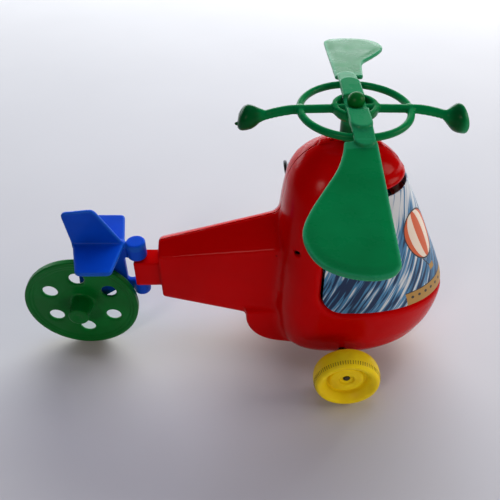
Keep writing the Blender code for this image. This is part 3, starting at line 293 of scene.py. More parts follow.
@dataclass
class Mould:
    """A cavity that a piece is cast from: its distance, and the box that holds it, in millimetres."""

    name: str
    distance: Distance
    low: tuple[float, float, float]
    high: tuple[float, float, float]
    step: float
    crease: float = 50.0
    block: int = 4
    quick_factor: float = 1.35
    rounds: int = 3
    chunk: int = 300000

    def cast(self) -> Mesh:
        """Casts the piece.

        Returns:
            A closed mesh in metres, with smooth faces that are sharp only past the crease angle.
        """
        step = self.step * 1.0
        points, quads = self._net(*self._sample(step))
        for _ in range(self.rounds):
            points = self._settle(points, step)
        mesh = bpy.data.meshes.new(self.name)
        mesh.from_pydata((points * MM).tolist(), [], quads.tolist())
        mesh.validate()
        mesh.update()
        smooth(mesh, self.crease)
        return mesh

    def _sample(self, step: float) -> tuple[list[np.ndarray], np.ndarray]:
        """Reads the distance on a grid, finely only near the skin.

        Args:
            step: Spacing of the grid.

        Returns:
            The grid's three axes, and the distance at each of its points.
        """
        axes = []
        for low, high in zip(self.low, self.high):
            count = int(math.ceil((high - low + 6 * step) / step / self.block)) * self.block
            axes.append(low - 3 * step + step * np.arange(count))
        middles = [axis.reshape(-1, self.block).mean(axis=1) for axis in axes]
        coarse = self.distance(np.stack(np.meshgrid(*middles, indexing="ij"), axis=-1).reshape(-1, 3))
        coarse = coarse.reshape([len(middle) for middle in middles])
        values = coarse
        for axis in range(3):
            values = np.repeat(values, self.block, axis=axis)
        near = np.abs(values) < 1.3 * self.block * step
        index = np.argwhere(near)
        for start in range(0, len(index), self.chunk):
            some = index[start : start + self.chunk]
            places = np.stack([axes[i][some[:, i]] for i in range(3)], axis=1)
            values[some[:, 0], some[:, 1], some[:, 2]] = self.distance(places)
        return axes, values

    def _net(self, axes: list[np.ndarray], values: np.ndarray) -> tuple[np.ndarray, np.ndarray]:
        """Lays a net of quads where the distance changes sign.

        Args:
            axes: The grid's three axes.
            values: The distance at each grid point.

        Returns:
            The net's points, and the four points of each quad.
        """
        inside = values < 0
        shape = [n - 1 for n in values.shape]
        corners = [(i, j, k) for i in (0, 1) for j in (0, 1) for k in (0, 1)]
        total = np.zeros(shape, np.int8)
        for i, j, k in corners:
            total += inside[i : i + shape[0], j : j + shape[1], k : k + shape[2]]
        cells = np.argwhere((total > 0) & (total < 8))
        number = np.full(shape, -1)
        number[cells[:, 0], cells[:, 1], cells[:, 2]] = np.arange(len(cells))
        summed = np.zeros((len(cells), 3))
        count = np.zeros(len(cells))
        for first in corners:
            for axis in range(3):
                if first[axis]:
                    continue
                a = cells + np.array(first)
                b = a.copy()
                b[:, axis] += 1
                va = values[a[:, 0], a[:, 1], a[:, 2]]
                vb = values[b[:, 0], b[:, 1], b[:, 2]]
                crossed = (va < 0) != (vb < 0)
                t = np.where(crossed, va / np.where(crossed, va - vb, 1.0), 0.0)
                place = a.astype(float)
                place[:, axis] += t
                summed += place * crossed[:, None]
                count += crossed
        step = axes[0][1] - axes[0][0]
        origin = np.array([axis[0] for axis in axes])
        points = origin + step * summed / count[:, None]
        quads = []
        for axis in range(3):
            b, c = (axis + 1) % 3, (axis + 2) % 3
            head = [slice(None)] * 3
            tail = [slice(None)] * 3
            head[axis], tail[axis] = slice(1, None), slice(None, -1)
            starts = inside[tuple(tail)]
            changed = np.argwhere(starts != inside[tuple(head)])
            changed = changed[(changed[:, b] > 0) & (changed[:, c] > 0)]
            changed = changed[(changed[:, b] < shape[b]) & (changed[:, c] < shape[c])]
            outward = starts[changed[:, 0], changed[:, 1], changed[:, 2]]
            ring = []
            for db, dc in ((-1, -1), (0, -1), (0, 0), (-1, 0)):
                cell = changed.copy()
                cell[:, b] += db
                cell[:, c] += dc
                ring.append(number[cell[:, 0], cell[:, 1], cell[:, 2]])
            ring = np.stack(ring, axis=1)
            quads.append(np.where(outward[:, None], ring, ring[:, ::-1]))
        return points, np.concatenate(quads)

    def _settle(self, points: np.ndarray, step: float) -> np.ndarray:
        """Moves the net's points onto the skin, by half a step at most.

        Args:
            points: The net's points.
            step: Spacing of the grid.

        Returns:
            The moved points.
        """
        value = self.distance(points)
        slope = slope_of(self.distance, points, 0.06 * step)
        steep = np.maximum((slope**2).sum(axis=1), 0.25)
        move = -(value / steep)[:, None] * slope
        long = np.linalg.norm(move, axis=1)
        return points + move * np.minimum(1, 0.5 * step / np.maximum(long, 1e-9))[:, None]


def smooth(mesh: Mesh, crease: float) -> None:
    """Shades a mesh smooth, with a sharp edge wherever its faces meet past the crease angle."""
    mesh.shade_smooth()
    mesh.set_sharp_from_angle(angle=math.radians(crease))


def places_of(mesh: Mesh) -> np.ndarray:
    """The places of a mesh's points.

    Args:
        mesh: The mesh, in metres.

    Returns:
        Its points in millimetres.
    """
    places = np.empty(len(mesh.vertices) * 3)
    mesh.vertices.foreach_get("co", places)
    return places.reshape(-1, 3) / MM


def mark(mesh: Mesh, name: str, values: np.ndarray) -> None:
    """Writes one value for each point of a mesh, for its finish to read."""
    made = mesh.attributes.new(name, "FLOAT", "POINT")
    made.data.foreach_set("value", values.astype(np.float32))


def lathe(
    name: str, profile: Outline, steps: int, matrix: Matrix, crease: float = 40.0
) -> Mesh:
    """Turns a closed profile round an axis.

    Args:
        name: Name of the mesh.
        profile: Radius and height of the profile's corners, in millimetres.
        steps: Faces round the axis.
        matrix: Where the axis stands, in metres.
        crease: Angle past which an edge is sharp.

    Returns:
        A closed mesh in metres.
    """
    bm = bmesh.new()
    rings = []
    for i in range(steps):
        angle = 2 * math.pi * i / steps
        c, s = math.cos(angle) * MM, math.sin(angle) * MM
        rings.append([bm.verts.new((r * c, r * s, h * MM)) for r, h in profile])
    for ring, after in zip(rings, rings[1:] + rings[:1]):
        for i in range(len(profile)):
            j = (i + 1) % len(profile)
            bm.faces.new((ring[i], ring[j], after[j], after[i]))
    bmesh.ops.remove_doubles(bm, verts=bm.verts, dist=1e-7)
    bmesh.ops.dissolve_degenerate(bm, dist=1e-8, edges=bm.edges)
    bmesh.ops.recalc_face_normals(bm, faces=bm.faces)
    mesh = bpy.data.meshes.new(name)
    bm.to_mesh(mesh)
    bm.free()
    mesh.transform(matrix)
    smooth(mesh, crease)
    return mesh


def blank(name: str) -> tuple[Material, Tree, bpy.types.Node]:
    """Starts a finish.

    Args:
        name: Name of the material.

    Returns:
        The material, its tree and the shader in it.
    """
    material = bpy.data.materials.new(name)
    material.use_nodes = True
    tree = material.node_tree
    return material, tree, tree.nodes["Principled BSDF"]


@dataclass(frozen=True)
class MouldedPlastic:
    """An injection-moulded plastic: one tone with a cloudy drift, a soft gloss and faint flow marks."""

    name: str
    colour: str
    cloud: str
    roughness: tuple[float, float]
    cloud_mm: float = 12.0
    grain_mm: float = 0.7
    grain: float = 0.05
    wave: float = 0.06
    ior: float = 1.46
    gloss: float = 0.20
    scatter: float = 0.0
    pale_edge_and_sheen: str = ""
    # The colour of painted shade, laid where the "thick" attribute is written.
    deep: str = ""
    speck: str = ""
    drawn: tuple[float, float, float] = (1.0, 1.3, 1.1)
    hair_mm: float = 9.0
    sink_mm: float = 14.0
    speck_mm: float = 12.0

    def material(self) -> Material:
        """Builds the finish.

        Returns:
            The material.
        """
        material, tree, shader = blank(self.name)
        here = add(tree, "ShaderNodeTexCoord").outputs["Object"]
        # Handling leaves the skin duller in cloudy patches, drawn out into hairlines on a hard plastic.
        stretch = add(
            tree,
            "ShaderNodeMapping",
            feeds={"Vector": here, "Rotation": (0.4, 0.2, 0.9), "Scale": self.drawn},
        )
        # The grain is drawn coarser than the real one, so that it shows.
        noise = []
        for place, size, detail, rough in (
            (here, self.cloud_mm, 3.0, 0.55),
            (stretch.outputs["Vector"], self.hair_mm, 4.0, 0.7),
            (here, self.grain_mm, 2.0, 0.5),
            (here, self.sink_mm, 1.0, 0.4),
        ):
            feeds = {"Vector": place, "Scale": PER_METRE / size, "Detail": detail, "Roughness": rough}
            noise.append(add(tree, "ShaderNodeTexNoise", feeds=feeds).outputs["Fac"])
        cloud, hair, grain, sink = noise
        drift = add(tree, "ShaderNodeMapRange", feeds={"Value": cloud, "From Min": 0.36, "From Max": 0.68})
        layers = [(drift.outputs["Result"], self.cloud)]
        # The "edge" attribute lays the pale colour on thin edges and, on the rotor, a painted sheen and
        # highlight; the "thick" attribute lays the deep colour as painted shade.
        for attribute, colour in (("edge", self.pale_edge_and_sheen), ("thick", self.deep)):
            if colour:
                written = add(tree, "ShaderNodeAttribute", {"attribute_name": attribute})
                layers.append((written.outputs["Fac"], colour))
        if self.speck:
            # Dust pits of about half a millimetre stand one to a cell.
            feeds = {"Vector": here, "Scale": PER_METRE / self.speck_mm}
            away = add(tree, "ShaderNodeTexVoronoi", feeds=feeds).outputs["Distance"]
            feeds = {"Value": away, "From Min": 0.034, "From Max": 0.018, "To Max": 0.75}
            layers.append((add(tree, "ShaderNodeMapRange", feeds=feeds).outputs["Result"], self.speck))
        tone: Any = linear(self.colour)
        for share, colour in layers:
            feeds = {0: share, 6: tone, 7: linear(colour)}
            tone = add(tree, "ShaderNodeMix", {"data_type": "RGBA"}, feeds).outputs[2]
        dull = add(
            tree,
            "ShaderNodeMapRange",
            feeds={
                "Value": hair,
                "From Min": 0.35,
                "From Max": 0.72,
                "To Min": self.roughness[0],
                "To Max": self.roughness[1],
            },
        )
        fine = add(
            tree,
            "ShaderNodeBump",
            feeds={"Strength": self.grain, "Distance": 0.0002, "Height": grain},
        )
        bent = add(
            tree,
            "ShaderNodeBump",
            feeds={
                "Strength": self.wave,
                "Distance": 0.0012,
                "Height": sink,
                "Normal": fine.outputs["Normal"],
            },
        )
        tree.links.new(tone, shader.inputs["Base Color"])
        tree.links.new(dull.outputs["Result"], shader.inputs["Roughness"])
        tree.links.new(bent.outputs["Normal"], shader.inputs["Normal"])
        shader.inputs["IOR"].default_value = self.ior
        shader.inputs["Specular IOR Level"].default_value = self.gloss
        shader.inputs["Subsurface Weight"].default_value = self.scatter
        shader.inputs["Subsurface Radius"].default_value = (0.6, 0.8, 0.4)
        shader.inputs["Subsurface Scale"].default_value = 0.002
        return material


@dataclass(frozen=True)
class WorkedMetal:
    """Sheet or bar metal as it left the rolls, the press or the lathe: fine streaks and a dull stain."""

    name: str
    colour: str
    stain: str
    roughness: tuple[float, float]
    streak: tuple[float, float, float]
    streak_mm: float = 3.0
    bump: float = 0.05
    blot_mm: float = 4.0

    def material(self) -> Material:
        """Builds the finish.

        Returns:
            The material.
        """
        material, tree, shader = blank(self.name)
        here = add(tree, "ShaderNodeTexCoord").outputs["Object"]
        # The streaks are drawn coarser than real ones, so that they show.
        drawn = add(tree, "ShaderNodeMapping", feeds={"Vector": here, "Scale": self.streak})
        lines = add(
            tree,
            "ShaderNodeTexNoise",
            feeds={
                "Vector": drawn.outputs["Vector"],
                "Scale": PER_METRE / self.streak_mm,
                "Detail": 4.0,
                "Roughness": 0.65,
            },
        ).outputs["Fac"]
        blot = add(
            tree,
            "ShaderNodeTexNoise",
            feeds={"Vector": here, "Scale": PER_METRE / self.blot_mm, "Detail": 3.0, "Roughness": 0.6},
        ).outputs["Fac"]
        spread = add(tree, "ShaderNodeMapRange", feeds={"Value": blot, "From Min": 0.45, "From Max": 0.75})
        tone = add(
            tree,
            "ShaderNodeMix",
            {"data_type": "RGBA"},
            {0: spread.outputs["Result"], 6: linear(self.colour), 7: linear(self.stain)},
        )
        dull = add(
            tree,
            "ShaderNodeMapRange",
            feeds={
                "Value": lines,
                "From Min": 0.3,
                "From Max": 0.7,
                "To Min": self.roughness[0],
                "To Max": self.roughness[1],
            },
        )
        ridge = add(
            tree,
            "ShaderNodeBump",
            feeds={"Strength": self.bump, "Distance": 0.0001, "Height": lines},
        )
        tree.links.new(tone.outputs[2], shader.inputs["Base Color"])
        tree.links.new(dull.outputs["Result"], shader.inputs["Roughness"])
        tree.links.new(ridge.outputs["Normal"], shader.inputs["Normal"])
        shader.inputs["Metallic"].default_value = 1.0
        return material


@dataclass(frozen=True)
class PrintedCard:
    """Coated card printed with a hatched sky, a balloon on each cheek and a strip of dots.

    Its UV map holds the place on the card in decimetres, and the sizes here are in millimetres.
    """

    name: str = "coated_card_offset_printed"
    sky: str = "#4285b4"
    haze: str = "#d6e2e8"
    deep: str = "#0a2d56"
    panel: str = "#b08a3c"
    dot: str = "#2a2622"
    gore: str = "#d8602a"
    cream: str = "#f3e9d6"
    fibre_mm: float = 0.5
    hatch_mm: tuple[float, float] = (1.3, 28.0)
    hatch_turn: float = 0.66
    balloon: tuple[float, float] = (9.8, 57.5)
    balloon_mm: float = 8.0
    balloon_line: float = 0.45
    gores: float = 6.0
    panel_top: float = 37.6
    panel_half: float = 25.0
    panel_line: float = 0.4
    dot_pitch: float = 3.0
    dot_row: float = 2.6
    dot_radius: float = 0.62

    def material(self) -> Material:
        """Builds the finish.

        Returns:
            The material.
        """
        material, tree, shader = blank(self.name)
        uv = add(tree, "ShaderNodeUVMap", {"uv_map": "card_mm"}).outputs["UV"]
        flat = add(
            tree, "ShaderNodeVectorMath", {"operation": "MULTIPLY"}, {0: uv, 1: (100.0, 100.0, 0.0)}
        ).outputs["Vector"]
        tone = self._strip(tree, flat, self._balloon(tree, flat, self._hatch(tree, flat)))
        fibre = add(
            tree,
            "ShaderNodeTexNoise",
            feeds={"Vector": flat, "Scale": 1 / self.fibre_mm, "Detail": 3.0, "Roughness": 0.6},
        ).outputs["Fac"]
        soft = add(tree, "ShaderNodeMapRange", feeds={"Value": fibre, "To Min": 0.34, "To Max": 0.52})
        tooth = add(tree, "ShaderNodeBump", feeds={"Strength": 0.12, "Distance": 0.0001, "Height": fibre})
        tree.links.new(tone, shader.inputs["Base Color"])
        tree.links.new(soft.outputs["Result"], shader.inputs["Roughness"])
        tree.links.new(tooth.outputs["Normal"], shader.inputs["Normal"])
        shader.inputs["IOR"].default_value = 1.48
        return material

    def _hatch(self, tree: Tree, flat: Socket) -> Socket:
        """Slanting pen strokes in three blues, sparser towards the top.

        Args:
            tree: The material's tree.
            flat: Place on the card, in millimetres.

        Returns:
            The colour of the hatched sky.
        """
        wide, long = self.hatch_mm
        turned = add(
            tree, "ShaderNodeMapping", feeds={"Vector": flat, "Rotation": (0.0, 0.0, self.hatch_turn)}
        )
        lean = add(
            tree,
            "ShaderNodeMapping",
            feeds={"Vector": turned.outputs["Vector"], "Scale": (1 / wide, 1 / long, 1.0)},
        )
        stroke = add(
            tree,
            "ShaderNodeTexNoise",
            feeds={"Vector": lean.outputs["Vector"], "Scale": 1.0, "Detail": 2.0, "Roughness": 0.6},
        ).outputs["Fac"]
        high = add(tree, "ShaderNodeSeparateXYZ", feeds={"Vector": flat}).outputs["Y"]
        lift = add(
            tree,
            "ShaderNodeMapRange",
            feeds={"Value": high, "From Min": 38.0, "From Max": 70.0, "To Min": -0.07, "To Max": 0.08},
        ).outputs["Result"]
        level = add(tree, "ShaderNodeMath", {"operation": "ADD"}, {0: stroke, 1: lift}).outputs[0]
        tone: Any = linear(self.sky)
        for low, high, colour in ((0.51, 0.58, self.haze), (0.46, 0.41, self.deep)):
            feeds = {"Value": level, "From Min": low, "From Max": high}
            share = add(tree, "ShaderNodeMapRange", feeds=feeds).outputs["Result"]
            feeds = {0: share, 6: tone, 7: linear(colour)}
            tone = add(tree, "ShaderNodeMix", {"data_type": "RGBA"}, feeds).outputs[2]
        return tone

    def _balloon(
        self, tree: Tree, flat: Socket, sky: Socket
    ) -> Socket:
        """A striped balloon with its basket, one on each side of the nose.

        Args:
            tree: The material's tree.
            flat: Place on the card, in millimetres.
            sky: The colour behind it.

        Returns:
            The colour with the balloon on it.
        """
        r = self.balloon_mm
        parts = add(tree, "ShaderNodeSeparateXYZ", feeds={"Vector": flat})
        at: dict[Any, Any] = {"x": parts.outputs["X"], "y": parts.outputs["Y"]}
        # Two ropes draw in from the balloon's mouth to a basket of 3 by 2.4 mm.
        for name, operation, *terms in (
            ("aside", "ABSOLUTE", "x"),
            ("du", "SUBTRACT", "aside", self.balloon[0]),
            ("dz", "SUBTRACT", "y", self.balloon[1]),
            ("below", "MULTIPLY", "dz", 0.76),
            ("tall", "MAXIMUM", "dz", "below"),
            ("square", "MULTIPLY", "tall", "tall"),
            ("left", "SUBTRACT", r * r, "square"),
            ("left", "MAXIMUM", "left", 0.2),
            ("half", "SQRT", "left"),
            ("share", "DIVIDE", "du", "half"),
            ("turn", "ARCSINE", "share"),
            ("turn", "MULTIPLY_ADD", "turn", self.gores / (2 * math.pi), 10.25),
            ("turn", "FRACT", "turn"),
            ("striped", "LESS_THAN", "turn", 0.5),
            ("span", "ABSOLUTE", "du"),
            ("rope", "MULTIPLY_ADD", "dz", -0.5, "span"),
            ("near", "COMPARE", "rope", 8.2, 0.22),
            ("band", "COMPARE", "dz", -12.0, 2.4),
            ("roped", "MULTIPLY", "near", "band"),
            ("wide", "LESS_THAN", "span", 1.5),
            ("high", "COMPARE", "dz", -14.9, 1.2),
            ("basket", "MULTIPLY", "wide", "high"),
        ):
            feeds = {i: at.get(term, term) for i, term in enumerate(terms)}
            at[name] = add(tree, "ShaderNodeMath", {"operation": operation}, feeds).outputs[0]
        spot = add(tree, "ShaderNodeCombineXYZ", feeds={"X": at["du"], "Y": at["tall"]}).outputs["Vector"]
        away = add(tree, "ShaderNodeVectorMath", {"operation": "LENGTH"}, {0: spot}).outputs["Value"]
        line = r - self.balloon_line
        lined = add(tree, "ShaderNodeMath", {"operation": "GREATER_THAN"}, {0: away, 1: line}).outputs[0]
        inside = add(tree, "ShaderNodeMath", {"operation": "LESS_THAN"}, {0: away, 1: r}).outputs[0]
        cloth: Any = linear(self.cream)
        for share, colour in ((at["striped"], self.gore), (lined, self.dot)):
            feeds = {0: share, 6: cloth, 7: linear(colour)}
            cloth = add(tree, "ShaderNodeMix", {"data_type": "RGBA"}, feeds).outputs[2]
        tone = sky
        for share, over in (
            (inside, cloth),
            (at["roped"], linear(self.dot)),
            (at["basket"], linear(self.panel)),
        ):
            tone = add(tree, "ShaderNodeMix", {"data_type": "RGBA"}, {0: share, 6: tone, 7: over}).outputs[2]
        return tone

    def _strip(
        self, tree: Tree, flat: Socket, above: Socket
    ) -> Socket:
        """A strip with a row of dots along the foot of the nose.

        Args:
            tree: The material's tree.
            flat: Place on the card, in millimetres.
            above: The colour above it.

        Returns:
            The colour with the strip on it.
        """
        top, pitch = self.panel_top, self.dot_pitch
        parts = add(tree, "ShaderNodeSeparateXYZ", feeds={"Vector": flat})
        at: dict[Any, Any] = {"across": parts.outputs["X"], "high": parts.outputs["Y"]}
        for name, operation, *terms in (
            ("cell", "DIVIDE", "across", pitch),
            ("cell", "FRACT", "cell"),
            ("cell", "MULTIPLY_ADD", "cell", pitch, -pitch / 2),
            ("row", "SUBTRACT", "high", top - self.dot_row),
            ("lined", "GREATER_THAN", "high", top - self.panel_line),
            ("low", "LESS_THAN", "high", top),
            ("aside", "ABSOLUTE", "across"),
            ("near", "LESS_THAN", "aside", self.panel_half),
            ("on", "MULTIPLY", "low", "near"),
        ):
            feeds = {i: at.get(term, term) for i, term in enumerate(terms)}
            at[name] = add(tree, "ShaderNodeMath", {"operation": operation}, feeds).outputs[0]
        spot = add(tree, "ShaderNodeCombineXYZ", feeds={"X": at["cell"], "Y": at["row"]}).outputs["Vector"]
        away = add(tree, "ShaderNodeVectorMath", {"operation": "LENGTH"}, {0: spot}).outputs["Value"]
        feeds = {0: away, 1: self.dot_radius}
        dotted = add(tree, "ShaderNodeMath", {"operation": "LESS_THAN"}, feeds).outputs[0]
        tone: Any = linear(self.panel)
        for share in (dotted, at["lined"]):
            feeds = {0: share, 6: tone, 7: linear(self.dot)}
            tone = add(tree, "ShaderNodeMix", {"data_type": "RGBA"}, feeds).outputs[2]
        return add(tree, "ShaderNodeMix", {"data_type": "RGBA"}, {0: at["on"], 6: above, 7: tone}).outputs[2]


@dataclass(frozen=True)
class MattPaper:
    """Matt paper on the table: an even pale tone with a faint drift."""

    name: str = "matt_paper_roll"
    colour: str = "#ced1d6"
    drift: str = "#c6c9ce"
    drift_mm: float = 90.0
    roughness: float = 0.75

    def material(self) -> Material:
        """Builds the finish.

        Returns:
            The material.
        """
        material, tree, shader = blank(self.name)
        here = add(tree, "ShaderNodeTexCoord").outputs["Object"]
        cloud = add(
            tree,
            "ShaderNodeTexNoise",
            feeds={"Vector": here, "Scale": PER_METRE / self.drift_mm, "Detail": 3.0},
        )
        tone = add(
            tree,
            "ShaderNodeMix",
            {"data_type": "RGBA"},
            {0: cloud.outputs["Fac"], 6: linear(self.colour), 7: linear(self.drift)},
        )
        tree.links.new(tone.outputs[2], shader.inputs["Base Color"])
        shader.inputs["Roughness"].default_value = self.roughness
        return material


# Glossy moulded polystyrene: a deep even red whose smooth skin mirrors soft light in broad streaks.
RED_STYRENE = MouldedPlastic(
    name="polystyrene_red_gloss_moulded",
    colour="#c20103",
    cloud="#b80102",
    roughness=(0.14, 0.24),
    cloud_mm=22.0,
    grain_mm=0.9,
    grain=0.02,
    wave=0.10,
    gloss=0.07,
    drawn=(1.0, 5.0, 2.0),
    speck="#4a0203",
)
# Moulded polyethylene: a waxy green with a satin skin, paler at thin edges; the pale colour also paints a
# sheen on the stepped bar and a highlight on the right weight's rim, and the deep colour paints shade on the
# weights' middles and the sleeve.
GREEN_POLYTHENE = MouldedPlastic(
    name="polyethylene_green_satin_moulded",
    colour="#007d42",
    cloud="#00733b",
    roughness=(0.24, 0.36),
    gloss=0.12,
    scatter=0.06,
    pale_edge_and_sheen="#2c9868",
    deep="#004a20",
)
# The tail wheel is of a warmer, darker batch of the same polyethylene, and duller.
WHEEL_POLYTHENE = MouldedPlastic(
    name="polyethylene_dark_green_moulded",
    colour="#026b28",
    cloud="#025f20",
    roughness=(0.30, 0.46),
    scatter=0.06,
)
# Moulded polyethylene in a clear blue: satin, with a soft pale line on each edge.
BLUE_POLYTHENE = MouldedPlastic(
    name="polyethylene_blue_satin_moulded",
    colour="#0348c8",
    cloud="#0340b8",
    roughness=(0.30, 0.44),
    cloud_mm=14.0,
    gloss=0.13,
    scatter=0.05,
    pale_edge_and_sheen="#1459c4",
)
# Soft moulded vinyl: a waxy yellow that takes in light and has only a broad dull sheen.
YELLOW_VINYL = MouldedPlastic(
    name="soft_vinyl_yellow_moulded",
    colour="#f6e21c",
    cloud="#eace14",
    roughness=(0.34, 0.52),
    cloud_mm=7.0,
    grain_mm=0.6,
    grain=0.08,
    wave=0.08,
    scatter=0.15,
)
# The tread's ticks are coloured dark as painted shade of the grooves between them, so they show as short
# dark dashes on the yellow vinyl.
TREAD_VINYL = MouldedPlastic(
    name="soft_vinyl_tread_painted_shade",
    colour="#5e4c08",
    cloud="#b09a18",
    roughness=(0.50, 0.70),
    cloud_mm=3.0,
    grain_mm=0.6,
    grain=0.08,
    wave=0.08,
)
# Rolled sheet and turned arbors: a bright grey with fine streaks and a few dull stains.
BRIGHT_STEEL = WorkedMetal(
    name="bright_steel_rolled",
    colour="#b9bcc0",
    stain="#8d8f92",
    roughness=(0.22, 0.42),
    streak=(1.0, 1.0, 6.0),
)
# Drawn rod whose dark brown-grey is painted shade of its end deep in the wheel's hub, so that it only
# glints.
AXLE_STEEL_PAINTED_SHADE = WorkedMetal(
    name="drawn_steel_rod_painted_shade",
    colour="#5a5750",
    stain="#2e2a24",
    roughness=(0.25, 0.45),
    streak=(1.0, 6.0, 1.0),
)
# Tempered strip: blue-grey oxide with streaks along the roll.
DARK_STEEL = WorkedMetal(
    name="tempered_steel_strip_rolled",
    colour="#4d4f52",
    stain="#33302e",
    roughness=(0.30, 0.50),
    streak=(1.0, 5.0, 1.0),
    bump=0.06,
)
# Stamped brass: yellow, with a brown stain in its hollows.
GEAR_BRASS = WorkedMetal(
    name="brass_sheet_stamped",
    colour="#c9a24d",
    stain="#94702f",
    roughness=(0.24, 0.40),
    streak=(4.0, 1.0, 4.0),
    streak_mm=2.5,
)
# Offset-printed card: flat inks under a thin coating, with a soft sheen and a little paper tooth.
CARD_PRINT = PrintedCard()
# Paper off a roll: a pale matt grey that only takes shadows.
TABLE_PAPER = MattPaper()


@dataclass
class Workshop:
    """Makes objects of meshes, keeps one material for each finish, hangs each piece on its body and hides
    the CAD nodes that it stands for.
    """

    materials: dict[str, Material] = field(default_factory=dict)
    stood_for: set[str] = field(default_factory=set)
    made: int = 0

    def finish(self, finish: Any) -> Material:
        """The material of a finish, made once.

        Args:
            finish: The finish.

        Returns:
            Its material.
        """
        if finish.name not in self.materials:
            self.materials[finish.name] = finish.material()
        return self.materials[finish.name]

    def place(
        self, name: str, mesh: Mesh, finish: Any, body: str, slot: str, *nodes: str
    ) -> None:
        """Puts a finished piece on its body.

        Args:
            name: Name of the piece.
            mesh: Its mesh, in place.
            finish: Its finish.
            body: The CAD body that it rides on.
            slot: Not used.
            nodes: CAD nodes that it stands for.
        """
        obj = bpy.data.objects.new(name, mesh)
        bpy.context.scene.collection.objects.link(obj)
        mesh.materials.clear()
        mesh.materials.append(self.finish(finish))
        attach(obj, body)
        if nodes:
            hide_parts(*nodes)
            self.stood_for.update(nodes)
        mesh.calc_loop_triangles()
        self.made += 1
        LOG.info("%s rides on %s with %d triangles", name, body, len(mesh.loop_triangles))


